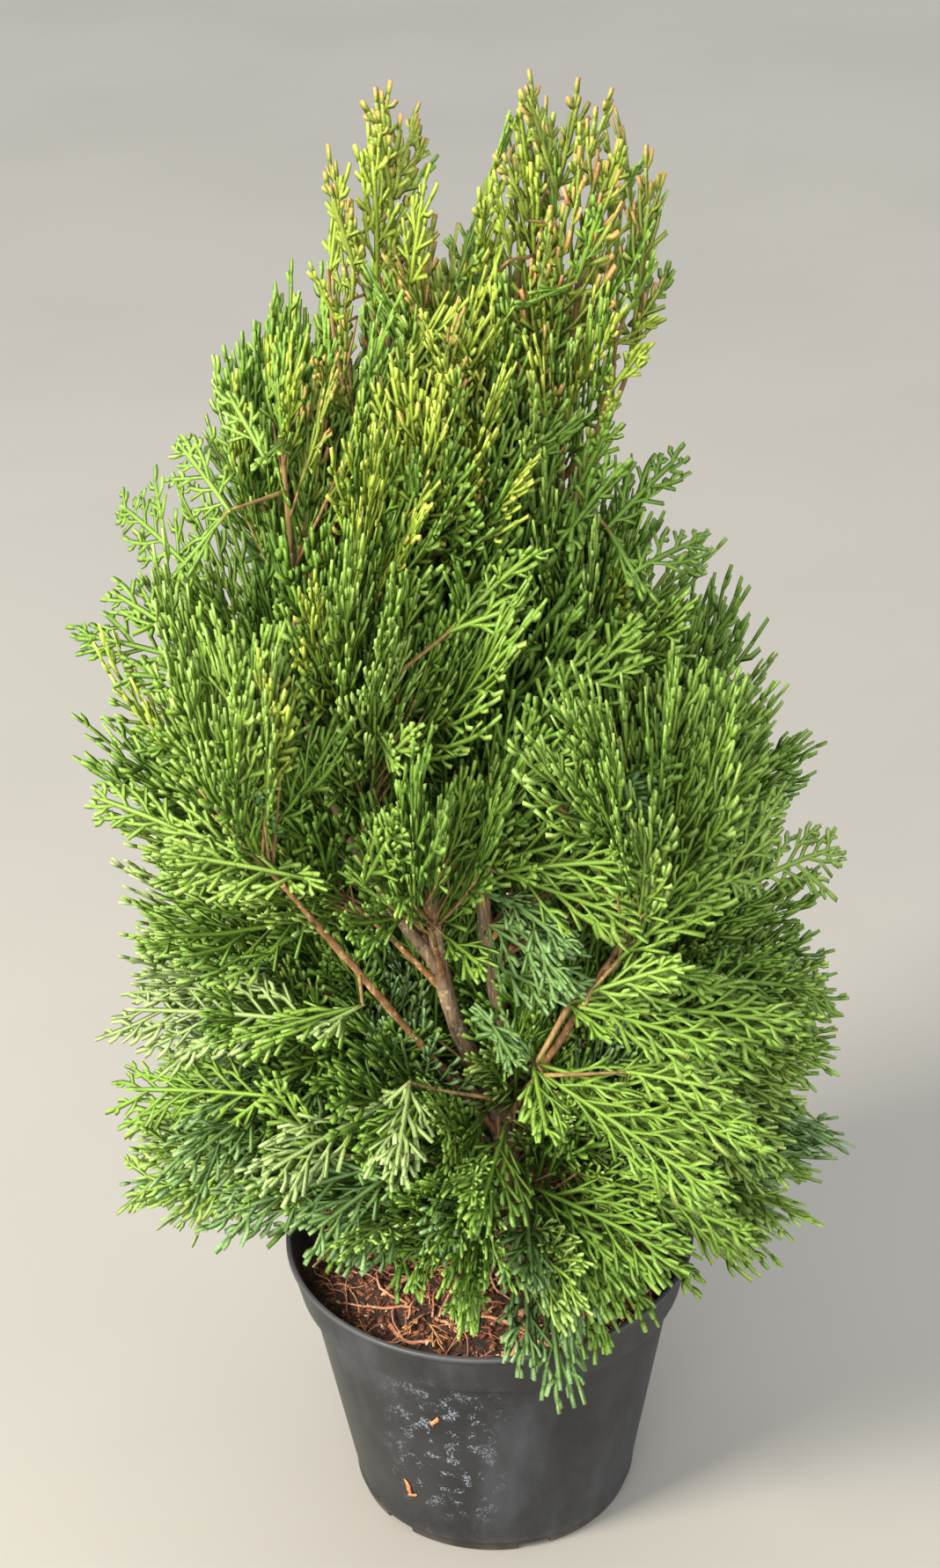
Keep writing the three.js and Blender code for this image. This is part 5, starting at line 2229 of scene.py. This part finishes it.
    def _fingers(self, fans: Fans, rows: Branchlets) -> tuple[Array, Array, Array]:
        """Blunt alternate fingers of the branchlets, with one at each end.

        A finger turns off its branchlet's slope by the finger angle, to alternate sides, and bends back
        toward that slope at its end. Its length falls with what is left of the branchlet.

        Args:
            fans: The fans.
            rows: Their branchlets.

        Returns:
            Paths of three points in the fans' planes, the fan of each, and whether it is an outer one.
        """
        size, rng, count = self.size, self.rng, len(rows.fan)
        slot = np.arange(size.most_fingers)
        reach = rows.reach[:, None]
        place = size.first_finger * reach + size.finger_spacing * slot
        place = place + rng.uniform(-0.8, 0.8, (count, size.most_fingers))
        shares = np.concatenate((np.full((count, 1), size.last_finger), place / reach), axis=1)
        keep = np.concatenate((np.full((count, 1), True), place < size.last_finger * reach), axis=1)
        root = self._points(rows, shares)
        slope = unit(self._points(rows, shares + 0.05) - root)
        high = smooth(fans.base[:, 2], *size.sag_heights)[rows.fan][:, None]
        turn = blend(size.finger_angles, high) * np.concatenate(((0.0,), np.where(slot % 2 == 0, 1.0, -1.0)))
        turn = turn * rows.side[:, None] + rng.normal(0.0, 0.09, shares.shape)
        cosine, sine = np.cos(turn), np.sin(turn)
        along = unit(np.stack((
            slope[..., 0] * cosine - slope[..., 1] * sine,
            slope[..., 0] * sine + slope[..., 1] * cosine,
            slope[..., 2] + rng.normal(0.0, 0.1, shares.shape),
        ), axis=-1))
        left = np.concatenate((np.full((count, 1), 0.3), 1 - shares[:, 1:]), axis=1)
        length = reach * left * blend(size.finger_shares, high) + 4.0
        length = np.clip(length, size.finger_shortest, blend(size.finger_longest, high))
        length = (length * rng.uniform(0.8, 1.2, shares.shape))[..., None]
        outer = (shares > 0.5) | (rows.part[:, None] > 0.7)
        owner = np.broadcast_to(rows.fan[:, None], shares.shape)
        middle = root + length * (0.55 * along - 0.04 * slope)
        end = root + length * ((1 - size.finger_bend) * along + size.finger_bend * slope)
        path = np.stack((root, middle, end), axis=2)[keep]
        rib_end = np.zeros((len(fans.base), 3, 3))
        rib_length = np.clip(fans.length * 0.1, 6.0, 11.0)[:, None]
        rib_end[..., 0] = fans.length[:, None] * 0.92 + rib_length * np.array((0.0, 0.55, 1.0))
        return (
            np.vstack((path, rib_end)),
            np.concatenate((owner[keep], np.arange(len(fans.base)))),
            np.concatenate((outer[keep], np.full(len(fans.base), True))),
        )


@dataclass
class Foliage:
    """All green pieces and the twigs under them."""

    skeleton: Skeleton
    wood: Wood
    effects: Effects
    fans_per_piece: int = 440

    def __post_init__(self) -> None:
        """Grows the crown."""
        self.growth = Growth(self.skeleton, CrownSpace(self.skeleton))
        self.nodes = [f"foliage_{b.name}" for b in self.skeleton.branches]

    def build(self) -> None:
        """Writes the twigs, then the fans of every tint in pieces of their own."""
        write_piece("twigs", self._twig_mesh(), self.wood.twig, Slot.YOUNG_BARK, self.nodes)
        rng = np.random.default_rng(77)
        mesher, deep_mesher = FanMesher(FanSize(), rng), FanMesher(DEEP_FAN, rng)
        for tint in Tint:
            fans = self.growth.fans.kept(self.growth.fans.tint == tint.value)
            if not len(fans.base):
                continue
            name = tint.name.lower()
            root, tip, fresh = TINT_COLOURS[tint]
            looks = {
                kind: LeafFinish(f"leaf_{name}_{kind}", colour, root, end).material(self.effects)
                for kind, colour, end in (("sprays", root, root), ("tips", tip, fresh))
            }
            parts = np.array_split(np.arange(len(fans.base)), math.ceil(len(fans.base) / self.fans_per_piece))
            for number, part in enumerate(parts, 1):
                made = (deep_mesher if tint is Tint.SHADE else mesher).build(fans.kept(part))
                for (kind, finish), data in zip(looks.items(), made):
                    write_piece(f"{kind}_{name}_{number}", data, finish, Slot.FOLIAGE, self.nodes)

    def _twig_mesh(self) -> MeshData:
        """Stems of the masses and the twigs between stems and fans.

        A stem's radius falls evenly from its foot's to the tip's, and a twig's to 0.62 of its own.

        Returns:
            The mesh.
        """
        stems = self.skeleton.stems
        feet = np.array([b.stem_radius for b in self.skeleton.branches])
        taper = np.linspace(1.0, 0.0, stems.shape[1])[None, :]
        width = taper * (feet - STEM_TIP_RADIUS)[:, None] + STEM_TIP_RADIUS
        frames = [steady_frames(s) for s in stems]
        across, normal = (np.array([f[i] for f in frames]) for i in (0, 1))
        twigs = self.growth.twigs
        path = [twigs.at(np.full(len(twigs.base), q))[0] for q in np.linspace(0.0, 1.0, 6)]
        path = np.stack(path, axis=1)
        thin = twigs.radius[:, None] * np.linspace(1.0, 0.62, 6)[None, :]
        return MeshData.joined([
            bars(stems, (across, normal), width, width, 8),
            bars(path, facing_frames(path, twigs.normal[:, None, :]), thin, thin, 6),
        ])


# Pot, soil and what lies on the soil.


@dataclass(frozen=True)
class PotSize:
    """Sizes of the pot, in millimetres."""

    height: float = 190.0
    rim_radius: float = 130.0
    band_height: float = 33.0
    band_foot: float = 122.0
    shoulder: float = 117.0
    base_radius: float = 89.6
    wall: float = 2.0
    floor: float = 3.0
    lip_height: float = 4.0
    lip_width: float = 1.4
    chamfer: float = 1.6
    ridge_height: float = 9.0
    ridge: float = 0.7
    wobble: float = 0.35
    segments: int = 180
    drains: int = 6
    drain_width: float = 22.0
    drain_rise: float = 5.0
    drain_inset: float = 12.0
    drain_turn: float = 0.75
    edge_bevel: float = 0.4

    @property
    def foot(self) -> float:
        """Height of the band's foot."""
        return self.height - self.band_height

    def wall_radius(self, z: float) -> float:
        """Outer radius of the wall at a height.

        It widens evenly from base to shoulder, and from the band's foot to the lip.

        Args:
            z: The height.

        Returns:
            The radius.
        """
        if z < self.foot:
            return self.base_radius + (self.shoulder - self.base_radius) * z / self.foot
        widening = self.rim_radius - self.lip_width - self.band_foot
        return self.band_foot + widening * (z - self.foot) / (self.band_height - self.lip_height)


@dataclass
class Pot:
    """Round nursery pot with its stepped band, lip, foot ridge and drain slots."""

    size: PotSize
    effects: Effects
    # Angle in degrees, height, length, width and roll of the flakes stuck to the front.
    flake_rows: tuple[tuple[float, ...], ...] = (
        (250.4, 122.3, 9.5, 3.2, 0.2), (235.3, 47.8, 15.0, 3.6, -0.45), (236.5, 42.0, 7.0, 2.4, 0.7),
    )

    def __post_init__(self) -> None:
        """Makes the finishes."""
        self.plastic = PlasticFinish().material(self.effects)
        brown = EarthFinish("flake_brown", (168, 98, 52), (202, 134, 78), (96, 52, 30), 160.0, 0.0006)
        self.flake = brown.material(self.effects)

    def _profile(self) -> Array:
        """Outline of the wall as radius and height, from the foot's edge outside round to the floor.

        The walls follow wall_radius, and the steps between them are short chamfers.

        Returns:
            Radius and height of each point, (n, 2).
        """
        s = self.size
        foot, base, rim, band, ridge = s.foot, s.base_radius, s.rim_radius, s.band_foot, s.ridge_height
        lip, inner = s.height - s.lip_height, s.rim_radius - s.lip_width - s.wall
        low, high, crest = ridge - 1.4, ridge + 1.4, s.wall_radius(ridge) + s.ridge
        floor_edge = base - s.wall + (s.shoulder - base) / foot * s.floor
        return np.array((
            (base - 30, 0), (base - s.chamfer - 1, 0), (base - s.chamfer, 0.1), (base - 0.4, 0.7),
            (base, s.chamfer), (s.wall_radius(low), low), (crest, ridge - 0.5), (crest, ridge + 0.5),
            (s.wall_radius(high), high), *((s.wall_radius(z), z) for z in np.linspace(20, foot - 8, 9)),
            (s.shoulder - 0.2, foot - 1.2), (s.shoulder + 0.5, foot + 0.1),
            (band - 0.8, foot + s.chamfer - 0.6), (band - 0.1, foot + s.chamfer),
            (s.wall_radius(foot + 3.4), foot + 3.4),
            *((s.wall_radius(z), z) for z in np.linspace(foot + 9, lip - 3, 4)),
            (rim - s.lip_width, lip - 0.5), (rim - 0.5, lip + 0.3), (rim, lip + s.lip_width),
            (rim, s.height - 0.7), (rim - 0.6, s.height), (inner + 0.4, s.height), (inner, s.height - 0.6),
            (band - s.wall + 2, foot + 16), (band - s.wall, foot + s.chamfer + s.wall),
            (s.shoulder - s.wall, foot), (floor_edge + 6, s.floor + 34), (floor_edge, s.floor),
        ), float)

    def build(self) -> None:
        """Writes the pot and the flakes stuck to it.

        Its radius waves by a mix of two and three waves a turn, that grows toward the rim.
        """
        s = self.size
        radius, z = self._profile()[:, :1], self._profile()[:, 1:]
        turn = 2 * np.pi * np.arange(s.segments) / s.segments
        wave = (np.sin(2 * turn + 0.6) + 0.5 * np.sin(3 * turn + 2.0)) / 1.5
        wave = s.wobble * smooth(z, 20.0, 180.0) * wave
        wavy = radius + np.where(radius > s.rim_radius - 1, np.minimum(wave, 0.0), wave)
        pot = write_piece("pot", revolved(polar(wavy, turn, z), 0, s.floor), self.plastic, Slot.POT, ["pot"])
        self._cut_drains(pot)
        self._flakes()

    def _cut_drains(self, pot: bpy.types.Object) -> None:
        """Cuts the drain slots out of the foot.

        A slot is a box at the base's radius, turned round the axis by its share of a turn.

        Args:
            pot: The pot's object.
        """
        s = self.size
        half = (s.drain_inset, s.drain_width / 2, s.drain_rise)
        box = np.array([(x, y, z) for x in (-1, 1) for y in (-1, 1) for z in (-1, 1)], float) * half
        boxes = []
        for i in range(s.drains):
            angle = 2 * math.pi * (i + s.drain_turn) / s.drains
            cosine, sine = math.cos(angle), math.sin(angle)
            turn = np.array(((cosine, sine, 0), (-sine, cosine, 0), (0, 0, 1)))
            boxes.append((box + (s.base_radius, 0, 0)) @ turn)
        quads = np.array(((0, 1, 3, 2), (4, 6, 7, 5), (0, 4, 5, 1), (2, 3, 7, 6), (0, 2, 6, 4), (1, 5, 7, 3)))
        mesh = bpy.data.meshes.new("drain_tool")
        faces = np.vstack([quads + 8 * i for i in range(s.drains)])
        mesh.from_pydata((np.vstack(boxes) * METRES).tolist(), [], faces.tolist())
        tool = placed(bpy.data.objects.new("drain_tool", mesh))
        cut = pot.modifiers.new("drains", "BOOLEAN")
        cut.operation, cut.solver, cut.object = "DIFFERENCE", "EXACT", tool
        shaped = bpy.data.meshes.new_from_object(pot.evaluated_get(bpy.context.evaluated_depsgraph_get()))
        pot.modifiers.clear()
        pot.data = shaped
        shaped.shade_smooth()
        bevel = pot.modifiers.new("drain_edges", "BEVEL")
        bevel.width, bevel.segments = s.edge_bevel * METRES, 2
        bevel.limit_method, bevel.angle_limit = "ANGLE", math.radians(50)
        bevel.harden_normals = False
        bpy.data.objects.remove(tool)

    def _flakes(self) -> None:
        """Flakes of bark that stick to the front of the pot.

        A path is centre + along * height * q, with a small sine sideways and an arch of 0.25 - q^2.
        """
        made = []
        for angle, z, height, width, roll in self.flake_rows:
            place = polar(1.0, np.radians(angle), 0.0)
            out = place - 0.17 * UP
            side = np.array((-place[1], place[0], 0.0))
            along = unit(turned(unit(np.cross(out, side)), side, roll))
            q = np.linspace(-0.5, 0.5, 7)[:, None]
            centre = place * (self.size.wall_radius(z) + 0.6) + UP * z
            path = centre + along * height * q + side * 1.6 * np.sin(q * 5) + out * (1.2 * (0.25 - q**2))
            taper = width / 2 * np.array(((0.25, 0.8, 1.0, 0.85, 1.0, 0.7, 0.3),))
            made.append(bars(path[None], facing_frames(path[None], out), taper, taper * 0.32, 8))
        write_piece("pot_flakes", MeshData.joined(made), self.flake, Slot.POT, ["pot"])


@dataclass(frozen=True)
class SoilSize:
    """Sizes of the soil and its litter, in millimetres."""

    top: float = 172.0
    edge_drop: float = 4.0
    bottom: float = 3.3
    gap: float = 0.6
    rings: int = 64
    segments: int = 200
    relief: float = 3.4
    litter_radius: float = 112.0
    mound_height: float = 1.6
    mound_radius: float = 26.0
    trunk_clearance: float = 17.0
    trunk_x: float = TRUNK.points[0][0]
    chips: int = 2600
    pale_chips: int = 240
    roots: int = 120
    sprigs: int = 26


@dataclass
class Soil:
    """Bark and peat litter with fibrous roots on a filled plug."""

    size: SoilSize
    pot: PotSize
    effects: Effects

    def __post_init__(self) -> None:
        """Makes the noises and the finishes."""
        self.rng = np.random.default_rng(5)
        self.lattices = [Relief(60 + i, (61, 61)) for i in range(3)]
        self.finishes = [f.material(self.effects) for f in (
            EarthFinish("peat", (38, 25, 16), (74, 48, 30), (14, 10, 8), 120.0, 0.0026),
            EarthFinish("chip_dark", (92, 46, 28), (138, 82, 52), (38, 22, 16), 150.0, 0.0008),
            EarthFinish("chip_pale", (176, 150, 112), (206, 186, 150), (120, 92, 64), 150.0, 0.0006),
            EarthFinish("root_fibre", (158, 100, 72), (196, 146, 112), (92, 52, 36), 130.0, 0.0006),
            EarthFinish("dead_sprig", (164, 112, 66), (196, 146, 92), (110, 66, 36), 130.0, 0.0004),
        )]

    def height(self, x: Array, y: Array) -> Array:
        """Height of the litter at points of the top.

        It is the top less a drop eased toward the wall, plus three noises of different cells and a round
        mound at the trunk.

        Args:
            x: Places to the right.
            y: Places to the back.

        Returns:
            Heights, shaped like x.
        """
        s = self.size
        plain = s.top - s.edge_drop * smooth(np.hypot(x, y), 40.0, 116.0) - 2.2
        rows = zip(self.lattices, ((17, 30, 0.5), (6.5, 30, 0.32), (2.6, 60, 0.18)))
        relief = [part * r.at(x / cell + off, y / cell + off) for r, (cell, off, part) in rows]
        mound = s.mound_height * np.exp(-(((x - s.trunk_x) ** 2 + y**2) / s.mound_radius**2))
        return plain + s.relief * sum(relief) + mound

    def build(self) -> None:
        """Writes the plug, the chips, the roots and the dead sprigs."""
        s = self.size
        makers = {
            "soil": self._plug,
            "soil_chips": lambda: self._chips(s.chips, (2.2, 8.0)),
            "soil_pale_bits": lambda: self._chips(s.pale_chips, (1.6, 5.4)),
            "soil_roots": self._roots,
            "soil_sprigs": self._sprigs,
        }
        for (name, make), finish in zip(makers.items(), self.finishes):
            write_piece(name, make(), finish, Slot.SOIL, ["soil"])

    def _plug(self) -> MeshData:
        """Filled plug with the litter's relief on its top.

        Its rings follow the inside of the wall, then shrink evenly at the height of the litter.

        Returns:
            The plug.
        """
        s, foot = self.size, self.pot.foot
        turn = 2 * np.pi * np.arange(s.segments) / s.segments
        edge = s.top - s.edge_drop
        heights = (s.bottom, 80.0, foot - 0.1, edge - 6, edge)
        inside = {z: self.pot.wall_radius(z) - self.pot.wall - s.gap for z in heights}
        top = polar(inside[edge] * np.linspace(1.0, 0.02, s.rings)[:, None], turn, 0.0)
        top[..., 2] = self.height(top[..., 0], top[..., 1])
        walls = zip((s.bottom, 80.0, foot, edge - 6), inside.values())
        ring = np.concatenate((np.array([polar(r, turn, z) for z, r in walls]), top))
        return revolved(ring, s.bottom, float(self.height(np.zeros(1), np.zeros(1))[0]))

    def _spots(self, count: int) -> Arrays:
        """Seeded points on the top, clear of the trunk and the wall.

        Their radius is the litter's times the root of a random share, which is even by area.

        Args:
            count: How many.

        Returns:
            Their x and y, (count,) each.
        """
        radius = self.size.litter_radius * np.sqrt(self.rng.random(count))
        turn = self.rng.uniform(0, 2 * np.pi, count)
        x, y = radius * np.cos(turn), radius * np.sin(turn)
        close = np.hypot(x - self.size.trunk_x, y) < self.size.trunk_clearance
        return np.where(close, x + 40, x), y

    def _chips(self, count: int, lengths: Pair) -> MeshData:
        """Small flat splinters strewn over the litter.

        A splinter runs from -0.5 to 0.5 of its length through its centre, dipped and rolled by random
        angles.

        Args:
            count: How many.
            lengths: Least and greatest length.

        Returns:
            The splinters.
        """
        rng = self.rng
        x, y = self._spots(count)
        length = rng.uniform(*lengths, count)
        turn = rng.uniform(0, 2 * np.pi, count)
        dip = rng.normal(0.0, 0.3, count)
        along = polar(np.cos(dip), turn, np.sin(dip))
        roll = rng.normal(0.0, 0.5, count)[:, None]
        side = unit(np.cross(UP, along))
        normal = turned(np.cross(along, side), side, roll)
        centre = np.column_stack((x, y, self.height(x, y) + 0.35))
        path = centre[:, None, :] + along[:, None, :] * (length[:, None] * (-0.5, -0.1, 0.5))[..., None]
        path = path + rng.normal(0.0, 0.25, path.shape)
        width = (length * rng.uniform(0.14, 0.34, count))[:, None] * np.array((0.55, 1.0, 0.4))
        thick = width * rng.uniform(0.25, 0.6, (count, 1))
        return bars(path, facing_frames(path, normal[:, None, :]), width, thick, 4)

    def _roots(self) -> MeshData:
        """Fibrous roots that wander over the litter.

        The heading adds up small random turns, the points add up steps along it, and a sine arches the
        root.

        Returns:
            The roots.
        """
        rng, count, stations = self.rng, self.size.roots, 14
        x, y = self._spots(count)
        turn = rng.uniform(0, 2 * np.pi, (count, 1))
        turn = turn + np.cumsum(rng.normal(0.0, 0.2, (count, stations)), axis=1)
        step = rng.uniform(1.4, 4.4, (count, 1))
        px = x[:, None] + np.cumsum(np.cos(turn) * step, axis=1)
        py = y[:, None] + np.cumsum(np.sin(turn) * step, axis=1)
        far = np.maximum(np.hypot(px, py) / (self.size.litter_radius + 1), 1.0)
        px, py = px / far, py / far
        arch = rng.uniform(-0.6, 3.4, (count, 1)) * np.sin(np.pi * np.linspace(0.0, 1.0, stations))
        arch = arch + rng.normal(0.0, 0.15, (count, stations))
        path = np.stack((px, py, self.height(px, py) + 0.1 + arch), axis=-1)
        radius = (0.4 + 1.5 * rng.random((count, 1)) ** 2.2) * np.linspace(1.0, 0.55, stations)
        return bars(path, facing_frames(path, UP), radius, radius, 6)

    def _sprigs(self) -> MeshData:
        """Dead tan sprigs that have dropped on the litter.

        Each is a small fan along the litter, turned round where it would pass the wall.

        Returns:
            The sprigs.
        """
        rng, count = self.rng, self.size.sprigs
        x, y = self._spots(count)
        turn = rng.uniform(0, 2 * np.pi, count)
        direction = polar(1.0, turn, rng.uniform(-0.04, 0.12, count))
        base = np.column_stack((x, y, self.height(x, y) + 1.6))
        length = rng.uniform(12.0, 26.0, count)
        over = np.hypot(*(base + unit(direction) * length[:, None])[:, :2].T) > self.size.litter_radius + 1
        direction = unit(np.where(over[:, None], -direction, direction))
        normal = square(UP + rng.normal(0.0, 0.25, base.shape), direction)
        none = np.zeros(count, int)
        fans = Fans(base, direction, normal, length, none, np.zeros_like(base), none, np.ones(count))
        size = FanSize(
            most_branchlets=8, branchlet_spacing=3.4, half_width=0.75, rib_half_width=0.8,
            finger_half_width=0.7,
        )
        return MeshData.joined(list(FanMesher(size, rng).build(fans)))


        twigs, tips = FanMesher(size, rng).build(fans)
        return MeshData.joined([twigs, tips])


# Lights, floor and camera.


@dataclass(frozen=True)
class LampSize:
    """Square area lamp that looks at the crown, in millimetres and watts."""

    name: str
    place: Triple
    width: float
    power: float
    colour: Colour


@dataclass(frozen=True)
class StudioSize:
    """Camera, lamps and floor, in millimetres."""

    sensor: float = 36.0
    floor: float = 16_000.0
    near_clip: float = 50.0
    far_clip: float = 60_000.0
    lamps: tuple[LampSize, ...] = (
        LampSize("key", (-2850.0, -1850.0, 2650.0), 1300.0, 455.0, (1.0, 0.94, 0.82)),
        LampSize("fill", (-300.0, -3000.0, 1500.0), 2400.0, 100.0, (1.0, 0.99, 0.96)),
    )
    lamp_aim: Triple = (0.0, 0.0, 450.0)
    sky: Colour = (0.96, 0.98, 1.0)
    sky_strength: float = 1.6


@dataclass
class Studio:
    """Pale floor, soft lamps and the camera at the photo's angle."""

    size: StudioSize
    effects: Effects

    def build(self) -> None:
        """Makes floor, lamps, world and camera."""
        s = self.size
        half = s.floor / 2 * METRES
        mesh = bpy.data.meshes.new("floor")
        corners = [(-half, -half, 0), (half, -half, 0), (half, half, 0), (-half, half, 0)]
        mesh.from_pydata(corners, [], [(0, 1, 2, 3)])
        mesh.materials.append(FloorFinish().material(self.effects))
        floor = placed(bpy.data.objects.new("floor", mesh))
        for lamp in s.lamps:
            self._lamp(lamp)
        world = bpy.data.worlds.new("studio")
        world.use_nodes = True
        sky = world.node_tree.nodes["Background"]
        sky.inputs["Color"].default_value = (*s.sky, 1.0)
        sky.inputs["Strength"].default_value = s.sky_strength
        bpy.context.scene.world = world
        bpy.context.scene.view_settings.view_transform = "Standard"
        self._camera()

    def _lamp(self, size: LampSize) -> None:
        """Makes a lamp and turns it to the crown.

        Args:
            size: The lamp.
        """
        data = bpy.data.lights.new(size.name, "AREA")
        data.energy, data.size, data.color = size.power, size.width * METRES, size.colour
        lamp = placed(bpy.data.objects.new(size.name, data))
        lamp.location = Vector(size.place) * METRES
        lamp.rotation_mode = "QUATERNION"
        aim = Vector(self.size.lamp_aim) * METRES - lamp.location
        lamp.rotation_quaternion = aim.to_track_quat("-Z", "Y")

    def _camera(self) -> None:
        """Camera from the photo's point of view."""
        view = PhotoView()
        right, down, forward = (Vector(axis) for axis in view.axes())
        data = bpy.data.cameras.new("photo_view")
        data.lens, data.sensor_width = view.focal / view.height * self.size.sensor, self.size.sensor
        data.clip_start, data.clip_end = self.size.near_clip * METRES, self.size.far_clip * METRES
        camera = placed(bpy.data.objects.new("photo_view", data))
        turn = Matrix((right, -down, -forward)).transposed().to_4x4()
        camera.matrix_world = Matrix.Translation(Vector(view.eye) * METRES) @ turn
        bpy.context.scene.camera = camera


def main() -> None:
    """Builds every piece and the studio."""
    effects = Effects()
    skeleton = Skeleton()
    wood = Wood(skeleton, effects)
    wood.build()
    Foliage(skeleton, wood, effects).build()
    pot_size = PotSize()
    Pot(pot_size, effects).build()
    Soil(SoilSize(), pot_size, effects).build()
    Studio(StudioSize(), effects).build()


if __name__ == "__main__":
    main()
